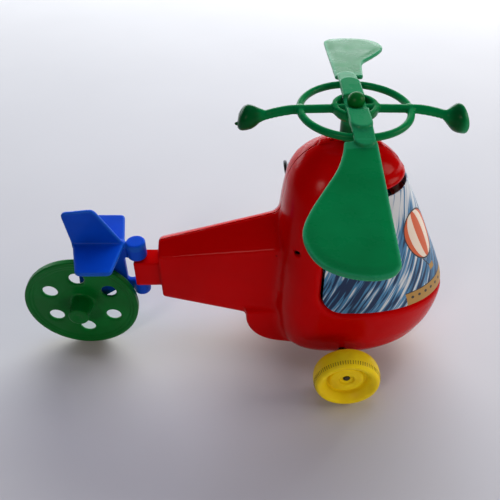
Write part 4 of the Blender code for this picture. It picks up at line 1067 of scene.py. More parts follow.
@dataclass
class Body:
    """The red body: two half shells with cabin, boom, keel and tail tongue. Sizes in millimetres."""

    heights: tuple[float, ...] = (6, 7, 9.5, 15, 22, 28, 32, 40, 50, 60, 68, 75, 79.5, 83, 85.2, 86.2)
    rears: tuple[float, ...] = (
        23.2, 20.4, 18.4, 16.5, 15.5, 15.0, 15.1, 15.4, 15.8, 16.6, 17.5, 18.9, 21.3, 24.8, 28.6, 32.8
    )
    fronts: tuple[float, ...] = (
        60.8, 65.3, 69.0, 72.8, 74.95, 75.44, 75.15, 72.2, 67.6, 62.9, 59.0, 55.8, 52.3, 48.3, 44.2, 39.3
    )
    widths: tuple[float, ...] = (
        13.0, 16.1, 18.6, 20.5, 21.3, 21.5, 21.5, 21.4, 20.9, 19.3, 17.3, 14.7, 11.9, 8.6, 5.3, 1.8
    )
    widest_low: float = 41.8
    widest_top: float = 36.2
    front_power: float = 2.0
    rear_power: float = 3.4
    roof_power: float = 2.2
    wall: float = 1.6
    screen_rear: float = 29.8
    screen_low: float = 31.4
    screen_high: float = 74.8
    screen_low_radius: float = 8.0
    screen_top_radius: float = 13.0
    screen_ahead: float = 92.0
    brow_heights: tuple[float, float] = (63.0, 70.0)
    groove_at: tuple[float, float] = (0.75, 2.7)
    groove_radius: float = 0.9
    groove_edge: float = 1.2
    opening_edge: float = 3.2
    brow_sharper: float = 0.8
    flange: float = 3.6
    boom_tip: float = -25.0
    boom_length: float = 41.2
    boom_into: float = 8.0
    boom_tip_sizes: tuple[float, ...] = (6.0, 24.5, 43.3, 46.7)
    boom_root_sizes: tuple[float, ...] = (10.8, 17.7, 50.8, 58.6)
    keel_rear: float = 5.0
    keel_front: float = 39.4
    keel_low: float = 6.4
    keel_high: float = 22.5
    keel_radius: float = 12.6
    keel_half: float = 11.6
    keel_edge: float = 1.2
    keel_fillet: float = 2.6
    boom_ridge: float = 0.22
    boom_fillets: tuple[float, float] = (2.8, 1.4)
    fillet_heights: tuple[float, float] = (28.0, 21.0)
    tongue_end: float = -34.2
    tongue_half: float = 4.0
    tongue_low: float = 28.4
    tongue_high: float = 39.0
    swivel_x: float = -33.0
    socket_radius: float = 1.5
    socket_depth: float = 3.3
    mast_x: float = 37.1
    mast_hole: float = 1.6
    roof_low: float = 70.0
    axle: tuple[float, float] = (39.4, 11.45)
    axle_hole: float = 1.25
    key: tuple[float, float] = (23.05, 44.32)
    key_hole: float = 1.6
    side_hole: tuple[float, float] = (21.4, 54.6)
    side_hole_radius: float = 0.95
    seam_depth: float = 0.30
    seam_slope: float = 0.55
    seam_reach: float = 0.3
    half_crease: float = 48.0
    pad_half: tuple[float, float] = (9.7, 1.25)
    pad_rise: float = 0.30
    box_low: tuple[float, float, float] = (-34.3, -22, 5.9)
    box_high: tuple[float, float, float] = (76, 22, 87)
    shell_step: float = 0.62
    pad_step: float = 0.26

    def section(self, z: np.ndarray) -> tuple[np.ndarray, ...]:
        """The cabin's outline at a height.

        Args:
            z: Heights.

        Returns:
            Rear, front, half width, widest place and rear power at each height.
        """
        knots = np.array(self.heights)
        z = np.clip(z, knots[0], knots[-1])
        rear, front, half = (eased(z, knots, np.array(v)) for v in (self.rears, self.fronts, self.widths))
        over = np.clip((z - knots[6]) / (knots[-1] - knots[6]), 0, 1)
        widest = self.widest_low + (self.widest_top - self.widest_low) * over
        power = self.rear_power + (self.roof_power - self.rear_power) * over**2
        return rear, front, half, widest, power

    def _cabin_level(self, p: np.ndarray) -> np.ndarray:
        """A level that is nought on the cabin's skin.

        Args:
            p: Points.

        Returns:
            The level at each point, negative inside.
        """
        rear, front, half, widest, power = self.section(p[:, 2])
        along = p[:, 0] - widest
        ahead = along > 0
        reach = np.where(ahead, front - widest, widest - rear)
        power = np.where(ahead, self.front_power, power)
        u = np.abs(along) / reach
        v = np.abs(p[:, 1]) / half
        return (u**power + v**power + 1e-12) ** (1 / power) - 1

    def cabin(self, p: np.ndarray) -> np.ndarray:
        """Distance to the cabin.

        Args:
            p: Points.

        Returns:
            Distances, negative inside.
        """
        level = self._cabin_level(p)
        steep = np.linalg.norm(slope_of(self._cabin_level, p, 0.05), axis=1)
        far = np.clip(level / np.maximum(steep, 1e-3), -12, 40)
        far = within(far, self.heights[0] - p[:, 2], 1.6)
        return within(far, p[:, 2] - self.heights[-1], 0.4)

    def boom(self, p: np.ndarray) -> np.ndarray:
        """Distance to the tapered boom with its arched top.

        Args:
            p: Points.

        Returns:
            Distances, negative inside.
        """
        t = (p[:, 0] - self.boom_tip) / self.boom_length
        ends = zip(self.boom_tip_sizes, self.boom_root_sizes)
        half, low, crease, crown = (a + (b - a) * t for a, b in ends)
        ridge = self.boom_ridge
        fall = (np.hypot(np.clip(p[:, 1] / half, -1.2, 1.2), ridge) - ridge) / (math.hypot(1, ridge) - ridge)
        arch = crown - (crown - crease) * fall
        far = within(np.abs(p[:, 1]) - half, low - p[:, 2], 1.4)
        far = within(far, (p[:, 2] - arch) * 0.80, 0.6)
        far = within(far, self.boom_tip - p[:, 0], 1.0)
        return np.maximum(far, p[:, 0] - self.boom_tip - self.boom_length - self.boom_into)

    def keel(self, p: np.ndarray) -> np.ndarray:
        """Distance to the narrow box under the boom's root.

        Args:
            p: Points.

        Returns:
            Distances, negative inside.
        """
        r = self.keel_radius
        x, z = self.keel_rear + r, self.keel_low + r
        outline = [(self.keel_rear, self.keel_high)]
        for angle in np.linspace(math.pi, 1.5 * math.pi, 14):
            outline.append((x + r * math.cos(angle), z + r * math.sin(angle)))
        outline += [(self.keel_front, self.keel_low), (self.keel_front, self.keel_high)]
        return plate(flat_distance(p[:, 0], p[:, 2], outline), p[:, 1], self.keel_half, self.keel_edge)

    def outer(self, p: np.ndarray) -> np.ndarray:
        """Distance to the body as one solid, with the fillets between its volumes.

        Args:
            p: Points.

        Returns:
            Distances, negative inside.
        """
        upper, lower = self.boom_fillets
        fillet = upper + (lower - upper) * ramp(*self.fillet_heights, p[:, 2])
        return melt(melt(self.cabin(p), self.keel(p), self.keel_fillet), self.boom(p), fillet)

    def screen_outline(self) -> list[tuple[float, float]]:
        """The windscreen opening from the side.

        Returns:
            The outline, by X and Z.
        """
        rear, low, high = self.screen_rear, self.screen_low, self.screen_high
        points = [(self.screen_ahead, low)]
        r = self.screen_low_radius
        for angle in np.linspace(1.5 * math.pi, math.pi, 12):
            points.append((rear + r + r * math.cos(angle), low + r + r * math.sin(angle)))
        r = self.screen_top_radius
        for angle in np.linspace(math.pi, 0.5 * math.pi, 14):
            points.append((rear + r + r * math.cos(angle), high - r + r * math.sin(angle)))
        return points + [(self.screen_ahead, high)]

    def shell(self, p: np.ndarray) -> np.ndarray:
        """Distance to the hollow body with its openings.

        Args:
            p: Points.

        Returns:
            Distances, negative inside.
        """
        skin = self.outer(p)
        opening = flat_distance(p[:, 0], p[:, 2], self.screen_outline())
        brow = ramp(*self.brow_heights, p[:, 2])
        groove = np.hypot(skin - self.groove_at[0], opening - self.groove_at[1]) - self.groove_radius * brow
        solid = carve(skin, np.where(brow > 0, groove, FAR_AWAY), self.groove_edge)
        solid = carve(solid, opening, self.opening_edge - self.brow_sharper * brow)
        far = np.abs(solid + self.wall / 2) - self.wall / 2
        far = np.maximum(far, -(skin + self.flange))
        tongue = bar(
            p,
            (self.tongue_end, -self.tongue_half, self.tongue_low),
            (self.boom_tip + 1.0, self.tongue_half, self.tongue_high),
            0.6,
        )
        far = melt(far, tongue, 0.5)
        socket = np.hypot(p[:, 0] - self.swivel_x, p[:, 1]) - self.socket_radius
        deep = np.minimum(p[:, 2] - self.tongue_low, self.tongue_high - p[:, 2]) - self.socket_depth
        far = carve(far, np.maximum(socket, deep), 0.2)
        mast = np.hypot(p[:, 0] - self.mast_x, p[:, 1]) - self.mast_hole
        far = carve(far, np.maximum(mast, self.roof_low - p[:, 2]), 0.3)
        axle = np.hypot(p[:, 0] - self.axle[0], p[:, 2] - self.axle[1]) - self.axle_hole
        far = carve(far, axle, 0.3)
        key = np.hypot(p[:, 0] - self.key[0], p[:, 2] - self.key[1]) - self.key_hole
        far = carve(far, np.maximum(key, -p[:, 1]), 0.3)
        hole = np.hypot(p[:, 0] - self.side_hole[0], p[:, 2] - self.side_hole[1]) - self.side_hole_radius
        return carve(far, np.maximum(hole, p[:, 1]), 0.35)

    def pad(self, p: np.ndarray) -> np.ndarray:
        """Distance to the low pad that the two halves lock under, round the mast.

        Args:
            p: Points.

        Returns:
            Distances, negative inside.
        """
        long, wide = self.pad_half
        edge = np.maximum(np.abs(p[:, 0] - self.mast_x) - long, np.abs(p[:, 1]) - wide)
        skin = self.cabin(p)
        far = within(within(skin - self.pad_rise, edge, 0.25), -0.5 - skin, 0.1)
        mast = np.hypot(p[:, 0] - self.mast_x, p[:, 1]) - self.mast_hole
        return carve(far, mast, 0.2)

    def half(self, mesh: Mesh, side: Side) -> Mesh:
        """Cuts one half from the cast body and sinks its seam.

        Args:
            mesh: The whole body.
            side: The half that is kept.

        Returns:
            The closed mesh of one half.
        """
        bm = bmesh.new()
        bm.from_mesh(mesh)
        sign = side.value
        for y, clear in ((0.0, True), (self.seam_slope * MM * sign, False)):
            everything = bm.verts[:] + bm.edges[:] + bm.faces[:]
            bmesh.ops.bisect_plane(
                bm, geom=everything, dist=2e-6, plane_co=(0, y, 0), plane_no=(0, -sign, 0), clear_outer=clear
            )
        rim = [v for v in bm.verts if abs(v.co.y) < 3e-6]
        places = np.array([v.co for v in rim]) / MM
        skin = self.outer(places)
        slope = slope_of(self.outer, places, 0.05)
        for vert, far, normal in zip(rim, skin, slope):
            vert.co.y = 0.0
            if abs(far) < self.seam_reach:
                vert.co.x -= self.seam_depth * MM * float(normal[0])
                vert.co.z -= self.seam_depth * MM * float(normal[2])
        edges = [e for e in bm.edges if e.is_boundary]
        bmesh.ops.triangle_fill(bm, use_beauty=True, use_dissolve=False, edges=edges, normal=(0, -sign, 0))
        bmesh.ops.recalc_face_normals(bm, faces=bm.faces)
        left = sum(1 for e in bm.edges if not e.is_manifold)
        LOG.info("%s half has %d open edges", side.name.lower(), left)
        made = bpy.data.meshes.new(f"body_{side.name.lower()}")
        bm.to_mesh(made)
        bm.free()
        smooth(made, self.half_crease)
        return made

    def build(self, shop: Workshop) -> None:
        """Casts the body, splits it and dresses its halves.

        Args:
            shop: Places each piece.
        """
        whole = Mould("body", self.shell, self.box_low, self.box_high, self.shell_step).cast()
        for side, node in ((Side.STARBOARD, "body_shell_right"), (Side.PORT, "body_shell_left")):
            mesh = self.half(whole, side)
            shop.place(f"body_skin_{side.name.lower()}", mesh, RED_STYRENE, "body", "red_plastic", node)
        bpy.data.meshes.remove(whole)
        low = (self.mast_x - self.pad_half[0], -self.pad_half[1], self.roof_low)
        high = (self.mast_x + self.pad_half[0], self.pad_half[1], self.box_high[2])
        pad = Mould("roof_pad", self.pad, low, high, self.pad_step).cast()
        shop.place("roof_pad", pad, RED_STYRENE, "body", "red_plastic")


@dataclass
class WindscreenCard:
    """The printed card bent round the nose behind the opening. Sizes in millimetres."""

    body: Body
    sunk: float = 0.4
    thickness: float = 0.4
    gap: float = 0.3
    top_gap: float = 1.25
    top_sunk: float = 0.7
    sinking: tuple[float, float] = (62.0, 73.0)
    rows: int = 64
    columns: int = 150

    def rear_edge(self, z: float) -> float:
        """The card's rear edge at a height, from the opening's outline.

        Args:
            z: The height.

        Returns:
            The edge's X.
        """
        body = self.body
        rear = body.screen_rear + self.gap
        low, high = body.screen_low + self.gap, body.screen_high - self.gap
        r = body.screen_low_radius
        if z < low + r:
            return rear + r - math.sqrt(max(0.0, r * r - (low + r - z) ** 2))
        r = body.screen_top_radius
        if z > high - r:
            return rear + r - math.sqrt(max(0.0, r * r - (z - high + r) ** 2))
        return rear

    def half_row(self, z: float) -> tuple[np.ndarray, np.ndarray]:
        """One height of the card from the nose to its rear edge.

        Args:
            z: The height.

        Returns:
            Points on the port side, evenly spaced, and their distance from the nose.
        """
        rear, front, half, widest, power = (float(v[0]) for v in self.body.section(np.array([z])))
        edge = self.rear_edge(z)
        angles = np.linspace(0, math.pi, 3000)
        c, s = np.cos(angles), np.sin(angles)
        exponent = np.where(c > 0, 2 / self.body.front_power, 2 / power)
        reach = np.where(c > 0, front - widest, widest - rear)
        x = widest + np.sign(c) * reach * np.abs(c) ** exponent
        y = half * np.abs(s) ** exponent
        keep = x >= edge
        x, y = x[keep], y[keep]
        run = np.concatenate([[0], np.cumsum(np.hypot(np.diff(x), np.diff(y)))])
        even = np.linspace(0, run[-1], self.columns // 2 + 1)
        points = np.stack([np.interp(even, run, x), np.interp(even, run, y), np.full(len(even), z)], axis=1)
        return points, even

    def build(self, shop: Workshop) -> None:
        """Bends the card and prints it.

        Args:
            shop: Places each piece.
        """
        heights = np.linspace(
            self.body.screen_low + self.gap + 0.02, self.body.screen_high - self.top_gap, self.rows
        )
        skin, runs = [], []
        for z in heights:
            port, run = self.half_row(float(z))
            starboard = port[:0:-1] * np.array([1, -1, 1])
            skin.append(np.concatenate([starboard, port]))
            runs.append(np.concatenate([-run[:0:-1], run]))
        places = np.array(skin).reshape(-1, 3)
        slope = slope_of(self.body.cabin, places, 0.05)
        slope /= np.linalg.norm(slope, axis=1)[:, None]
        deep = self.sunk + (self.top_sunk - self.sunk) * ramp(*self.sinking, places[:, 2:])
        face = places - slope * deep
        back = places - slope * (deep + self.thickness)
        wide = len(runs[0])
        count = len(places)
        quads = []
        for i in range(self.rows - 1):
            for j in range(wide - 1):
                a = i * wide + j
                quads.append((a, a + 1, a + wide + 1, a + wide))
                quads.append((a + count, a + count + wide, a + count + wide + 1, a + count + 1))
        border = list(range(wide)) + [i * wide + wide - 1 for i in range(1, self.rows)]
        border += [(self.rows - 1) * wide + j for j in range(wide - 2, -1, -1)]
        border += [i * wide for i in range(self.rows - 2, 0, -1)]
        for a, b in zip(border, border[1:] + border[:1]):
            quads.append((a, a + count, b + count, b))
        mesh = bpy.data.meshes.new("windscreen_print")
        mesh.from_pydata((np.concatenate([face, back]) * MM).tolist(), [], quads)
        uv = mesh.uv_layers.new(name="card_mm")
        flat = np.stack([np.array(runs).reshape(-1), places[:, 2]], axis=1) / 100
        flat = np.concatenate([flat, flat])
        index = np.empty(len(mesh.loops), np.int32)
        mesh.loops.foreach_get("vertex_index", index)
        uv.data.foreach_set("uv", flat[index].reshape(-1).astype(np.float32))
        mesh.validate()
        bm = bmesh.new()
        bm.from_mesh(mesh)
        bmesh.ops.recalc_face_normals(bm, faces=bm.faces)
        bm.to_mesh(mesh)
        bm.free()
        smooth(mesh, 40.0)
        shop.place("windscreen_print", mesh, CARD_PRINT, "body", "printed_card", "windscreen_card")


@dataclass(frozen=True)
class Drop:
    """A weight at one end of the crossbar: its axis tilts down, and a turned face cuts its end."""

    length: float
    radius: float
    sink: float
    tilt: float
    face_turn: float
    face_at: float
    shares: tuple[tuple[float, float], ...]


@dataclass(frozen=True)
class Blade:
    """One arm of the stepped bar: how far each step reaches, how its paddle hangs, and its outline."""

    side: Side
    upper_reach: float
    lower_reach: float
    root: float
    droop: float
    pitch: float
    tip: tuple[tuple[float, float], ...]


@dataclass
class Rotor:
    """The green rotor: hub with ring and weights, stepped bar with two blades, and ball. Millimetres."""

    mast_x: float = 37.1
    ring_z: float = 95.85
    ring_radius: float = 16.0
    rod: float = 1.1
    roof: float = 86.2
    cross_span: float = 27.2
    cross_half: float = 1.2
    cross_height: float = 2.0
    cross_droop: float = 2.0
    cross_lift: float = 0.7
    drops: tuple[Drop, Drop] = (
        Drop(
            length=9.5, radius=3.75, sink=1.2, tilt=12.0, face_turn=30.0, face_at=6.8,
            shares=(
                (0.0, 0.30), (0.12, 0.50), (0.27, 0.76), (0.42, 0.94),
                (0.55, 1.0), (0.70, 0.99), (0.84, 0.92), (0.95, 0.74),
            ),
        ),
        Drop(
            length=7.8, radius=4.6, sink=2.1, tilt=7.0, face_turn=28.0, face_at=6.3,
            shares=(
                (0.0, 0.27), (0.13, 0.45), (0.28, 0.68), (0.43, 0.87),
                (0.58, 0.97), (0.78, 1.0), (0.91, 0.97), (0.98, 0.82),
            ),
        ),
    )
    weight_lap: float = 0.8
    weight_edge: float = 2.6
    pip_back: float = 0.9
    pip_low: float = 1.5
    pip_radius: float = 0.5
    cup_radius: float = 6.75
    cup_top: float = 96.45
    cup_height: float = 2.6
    rim_rise: float = 1.35
    sleeve: float = 3.8
    bore: float = 1.25
    bar_width: float = 6.3
    bar_z: float = 96.75
    bar_lower: float = 1.1
    bar_upper: float = 0.7
    hinge_share: float = 0.97
    blade_thickness: float = 1.3
    near: Blade = Blade(
        side=Side.STARBOARD, upper_reach=14.4, lower_reach=21.3, root=18.4, droop=8.0, pitch=3.0,
        tip=(
            (-2.65, 61.5), (-0.50, 63.8), (3.97, 64.7), (10.0, 63.4), (15.0, 60.3), (17.8, 55.5),
            (18.5, 50.0), (16.5, 44.0), (12.6, 36.9), (8.5, 29.6), (6.3, 23.2), (5.4, 18.4),
        ),
    )
    far: Blade = Blade(
        side=Side.PORT, upper_reach=16.0, lower_reach=23.2, root=20.5, droop=6.9, pitch=-1.2,
        tip=(
            (-2.65, 61.3), (-0.50, 63.6), (3.97, 64.45), (10.2, 63.5), (14.6, 60.8), (16.9, 56.2),
            (17.2, 51.4), (15.2, 46.6), (11.3, 40.6), (8.3, 36.4), (6.9, 32.6), (6.0, 26.5), (5.3, 20.5),
        ),
    )
    ball_radius: float = 2.55
    ball_z: float = 98.63
    well_radius: float = 4.7
    well_floor: float = 97.4
    shank_radius: float = 1.4
    shank_half: float = 0.95
    hub_half: float = 17.2
    hub_top: float = 100.0
    hub_step: float = 0.33
    blade_half: tuple[float, float] = (65.0, 19.5)
    blade_heights: tuple[float, float] = (86.5, 99.0)
    blade_step: float = 0.36
    ball_half: float = 2.6
    ball_heights: tuple[float, float] = (96.3, 101.3)
    ball_step: float = 0.18

    def hub(self, p: np.ndarray) -> np.ndarray:
        """Distance to the hub cup, its sleeve, the ring, the crossbar, the weights and the pip.

        Args:
            p: Points.

        Returns:
            Distances, negative inside.
        """
        x, y, z = p[:, 0] - self.mast_x, p[:, 1], p[:, 2]
        r = np.hypot(x, y)
        top, low = self.cup_top, self.cup_top - self.cup_height
        rim = top + self.rim_rise
        profile = [
            (self.bore, top - 0.6),
            (self.cup_radius - 1.9, top - 0.6),
            (self.cup_radius - 1.35, rim - 0.1),
            (self.cup_radius - 1.1, rim),
            (self.cup_radius - 0.2, rim),
            (self.cup_radius, rim - 0.3),
            (self.cup_radius, top - 0.9),
            (self.cup_radius - 1.2, low + 0.4),
            (self.sleeve, low),
            (self.sleeve - 0.1, self.roof + 0.3),
            (self.bore, self.roof + 0.3),
        ]
        cup = flat_distance(r, z, rounded(profile, 0.35))
        slot = np.maximum(np.abs(x) - self.bar_width / 2 - 0.12, top - z)
        cup = carve(cup, slot, 0.2)
        hoop = np.hypot(r - self.ring_radius, z - self.ring_z) - self.rod
        share = np.abs(x) / self.cross_span
        sink = self.cross_droop * np.clip((share - 0.5) / 0.5, 0, 1) ** 2
        tall = 1 + 0.4 * ramp(0.5, 0.75, share)
        w = z - (self.ring_z - 0.15 - sink + self.cross_lift * (1 - np.clip(share, 0, 1) ** 2))
        w = np.where(w > 0, w / tall, w)
        half = self.cross_height / 2
        section = [
            (-half, -self.cross_half),
            (-half, self.cross_half),
            (half * 0.35, self.cross_half),
            (half, 0.42 * self.cross_half),
            (half, -0.42 * self.cross_half),
            (half * 0.35, -self.cross_half),
        ]
        cross = flat_distance(w, y, rounded(section, 0.16))
        cross = np.maximum(cross, np.abs(x) - self.cross_span)
        cross = np.maximum(cross, 2.5 - r)
        far = melt(melt(cup, cross, 0.7), hoop, 0.7)
        return melt(melt(far, self.weight(p), 0.8), self.pip(p), 0.3)

    def beyond(self, p: np.ndarray) -> np.ndarray:
        """How far a point lies beyond the place where the weights start."""
        return np.abs(p[:, 0] - self.mast_x) - (self.cross_span - self.weight_lap)

    def beside(self, p: np.ndarray, drop: Drop) -> tuple[np.ndarray, np.ndarray]:
        """Place along a weight's axis and above it.

        Args:
            p: Points.
            drop: The weight.

        Returns:
            Both, for each point.
        """
        x = self.beyond(p)
        z = p[:, 2] - (self.ring_z - drop.sink)
        tilt = math.radians(drop.tilt)
        return x * math.cos(tilt) - z * math.sin(tilt), x * math.sin(tilt) + z * math.cos(tilt)

    def weight(self, p: np.ndarray) -> np.ndarray:
        """Distance to the drop-shaped weights at the crossbar's ends.

        Args:
            p: Points.

        Returns:
            Distances, negative inside.
        """
        made = []
        for drop in self.drops:
            along, up = self.beside(p, drop)
            side = threaded([(a * drop.length, s * drop.radius) for a, s in drop.shares], 4)
            profile = [(0.0, 0.0)] + side + [(drop.length, 0.0)]
            mirrored = profile + [(a, -s) for a, s in reversed(side)]
            far = flat_distance(along, np.hypot(up, p[:, 1]), mirrored)
            turn = math.radians(drop.face_turn)
            face = along * math.cos(turn) + up * math.sin(turn) - drop.face_at
            made.append(within(far, face, self.weight_edge))
        return np.where(p[:, 0] < self.mast_x, made[0], made[1])

    def pip(self, p: np.ndarray) -> np.ndarray:
        """Distance to the moulding pip at one weight's outer end.

        Args:
            p: Points.

        Returns:
            Distances, negative inside.
        """
        drop = self.drops[0]
        along, up = self.beside(p, drop)
        far = np.hypot(np.hypot(along - drop.length + self.pip_back, up + self.pip_low), p[:, 1])
        return np.where(p[:, 0] < self.mast_x, far - self.pip_radius, FAR_AWAY)

    def blade_outline(self, blade: Blade) -> list[tuple[float, float]]:
        """A paddle from above: straight leading edge, round tip and flared trailing edge."""
        lead = [(-3.4, blade.root), (-2.8, 59.8)]
        return rounded(lead + threaded(blade.tip, 5), 0.9, 3)

    def strip(self, x: np.ndarray, y: np.ndarray, half: float, far_end: float) -> np.ndarray:
        """Flat distance to a strip along Y with a round far end."""
        return np.hypot(x, np.maximum(y - (far_end - half), 0)) - half

    def folded(self, p: np.ndarray, blade: Blade) -> tuple[np.ndarray, ...]:
        """Blade coordinates.

        Args:
            p: Points.
            blade: The arm that they are set on.

        Returns:
            The point turned onto the arm, then set level with its drooped part.
        """
        sign = blade.side.value
        x, y = sign * (p[:, 0] - self.mast_x), sign * p[:, 1]
        z = p[:, 2] - (self.bar_z + (self.bar_lower + self.bar_upper) / 2)
        hinge = self.hinge_share * blade.upper_reach
        c, s = math.cos(math.radians(blade.droop)), math.sin(math.radians(blade.droop))
        level_y = hinge + (y - hinge) * c - z * s
        level_z = (y - hinge) * s + z * c
        return x, y, z, level_y, level_z

    def arm(self, p: np.ndarray, blade: Blade) -> np.ndarray:
        """Distance to one arm of the bar with its paddle.

        Args:
            p: Points.
            blade: The arm.

        Returns:
            Distances, negative inside.
        """
        x, y, z, level_y, level_z = self.folded(p, blade)
        half = self.bar_width / 2
        thick = self.bar_lower + self.bar_upper
        upper = plate(self.strip(x, y, half, blade.upper_reach), z, thick / 2, 0.45)
        near = self.hinge_share * blade.upper_reach - 4.0
        flat = np.maximum(self.strip(x, level_y, 0.47 * self.bar_width, blade.lower_reach), near - level_y)
        lower = plate(flat, level_z + self.bar_upper / 2, self.bar_lower / 2, 0.4)
        sunk = self.bar_upper / 2 + self.bar_lower / 2 + self.blade_thickness / 2 - 0.4
        pitch = math.radians(blade.pitch)
        raised = level_z + sunk
        blade_x = x * math.cos(pitch) - raised * math.sin(pitch)
        blade_z = x * math.sin(pitch) + raised * math.cos(pitch)
        edge = flat_distance(blade_x, level_y, self.blade_outline(blade))
        roll = 0.22 * ramp(-3.2, -0.6, edge) * ramp(32.0, 48.0, level_y)
        paddle = plate(edge, blade_z + roll, self.blade_thickness / 2, 0.42)
        return melt(melt(upper, lower, 0.35), paddle, 0.3)

    def blades(self, p: np.ndarray) -> np.ndarray:
        """Distance to the stepped bar and its two drooped blades.

        Args:
            p: Points.

        Returns:
            Distances, negative inside.
        """
        far = np.empty(len(p))
        for blade in (self.near, self.far):
            here = (p[:, 1] >= 0) == (blade.side is Side.PORT)
            far[here] = self.arm(p[here], blade)
        r = np.hypot(p[:, 0] - self.mast_x, p[:, 1])
        well = np.maximum(r - self.well_radius, self.well_floor - p[:, 2])
        far = carve(far, well, 0.3)
        far = carve(far, r - 1.45, 0.15)
        groove = np.hypot(r - self.ring_radius, p[:, 2] - self.ring_z) - self.rod - 0.3
        return carve(far, groove, 0.1)

    def mark_edges(self, mesh: Mesh) -> None:
        """Writes how thin and near its outline each point of the blades is, and paints a sheen on the
        stepped bar.

        Args:
            mesh: The cast blades.
        """
        p = places_of(mesh)
        value = np.zeros(len(p))
        for blade in (self.near, self.far):
            here = (p[:, 1] >= 0) == (blade.side is Side.PORT)
            x, y, _, level_y, _ = self.folded(p[here], blade)
            edge = flat_distance(x, level_y, self.blade_outline(blade))
            thin = 0.9 * ramp(-1.1, -0.1, edge) * (level_y > blade.root)
            # Painted sheen: the stepped bar's arms take the pale colour all over.
            step = np.where(y < blade.upper_reach, 0.5, 0.42) * (level_y < blade.lower_reach + 0.4)
            value[here] = np.maximum(thin, step)
        mark(mesh, "edge", value)

    def mark_weights(self, mesh: Mesh) -> None:
        """Writes a painted highlight on the right weight's outer rim, and painted shade on the middle of
        both weights and on the sleeve, darker towards the roof.

        Args:
            mesh: The cast hub.
        """
        p = places_of(mesh)
        out = self.beyond(p)
        ahead = p[:, 0] > self.mast_x
        # Painted highlight: the right weight's outer rim takes the pale colour.
        thin = 0.55 * ramp(4.4, 6.2, out) * ahead
        # Painted shade: the weights' middles take the deep colour, on the right weight only in a band.
        thick = 0.9 * ramp(0.3, 2.6, out) * np.where(ahead, ramp(5.6, 3.4, out), 1.0)
        # Painted shade: the sleeve under the cup takes the deep colour, darker downwards.
        thick = np.maximum(thick, 0.8 * ramp(93.0, 91.5, p[:, 2]) * (out < -12))
        mark(mesh, "edge", thin)
        mark(mesh, "thick", thick)

    def ball(self, p: np.ndarray) -> np.ndarray:
        """Distance to the ball pin.

        Args:
            p: Points.

        Returns:
            Distances, negative inside.
        """
        r = np.hypot(p[:, 0] - self.mast_x, p[:, 1])
        ball = np.hypot(r, p[:, 2] - self.ball_z) - self.ball_radius
        ball = within(ball, self.well_floor + 0.03 - p[:, 2], 0.15)
        shank = within(r - self.shank_radius, np.abs(p[:, 2] - self.well_floor) - self.shank_half, 0.15)
        return melt(ball, shank, 0.2)

    def build(self, shop: Workshop) -> None:
        """Casts the three rotor mouldings and dresses them.

        Args:
            shop: Places each piece.
        """
        reach = self.cross_span + max(drop.length for drop in self.drops) + 0.6
        low = (self.mast_x - reach, -self.hub_half, self.roof)
        high = (self.mast_x + reach, self.hub_half, self.hub_top)
        ring = Mould("rotor_hub", self.hub, low, high, self.hub_step).cast()
        self.mark_weights(ring)
        shop.place("rotor_hub", ring, GREEN_POLYTHENE, "rotor", "green_plastic", "rotor_ring")
        long, wide = self.blade_half
        low = (self.mast_x - wide, -long, self.blade_heights[0])
        high = (self.mast_x + wide, long, self.blade_heights[1])
        blades = Mould("rotor_paddles", self.blades, low, high, self.blade_step).cast()
        self.mark_edges(blades)
        shop.place("rotor_paddles", blades, GREEN_POLYTHENE, "rotor", "green_plastic", "rotor_blades")
        half = self.ball_half
        low = (self.mast_x - half, -half, self.ball_heights[0])
        high = (self.mast_x + half, half, self.ball_heights[1])
        ball = Mould("rotor_ball_pin", self.ball, low, high, self.ball_step).cast()
        shop.place("rotor_ball_pin", ball, WHEEL_POLYTHENE, "rotor", "green_plastic", "rotor_ball")


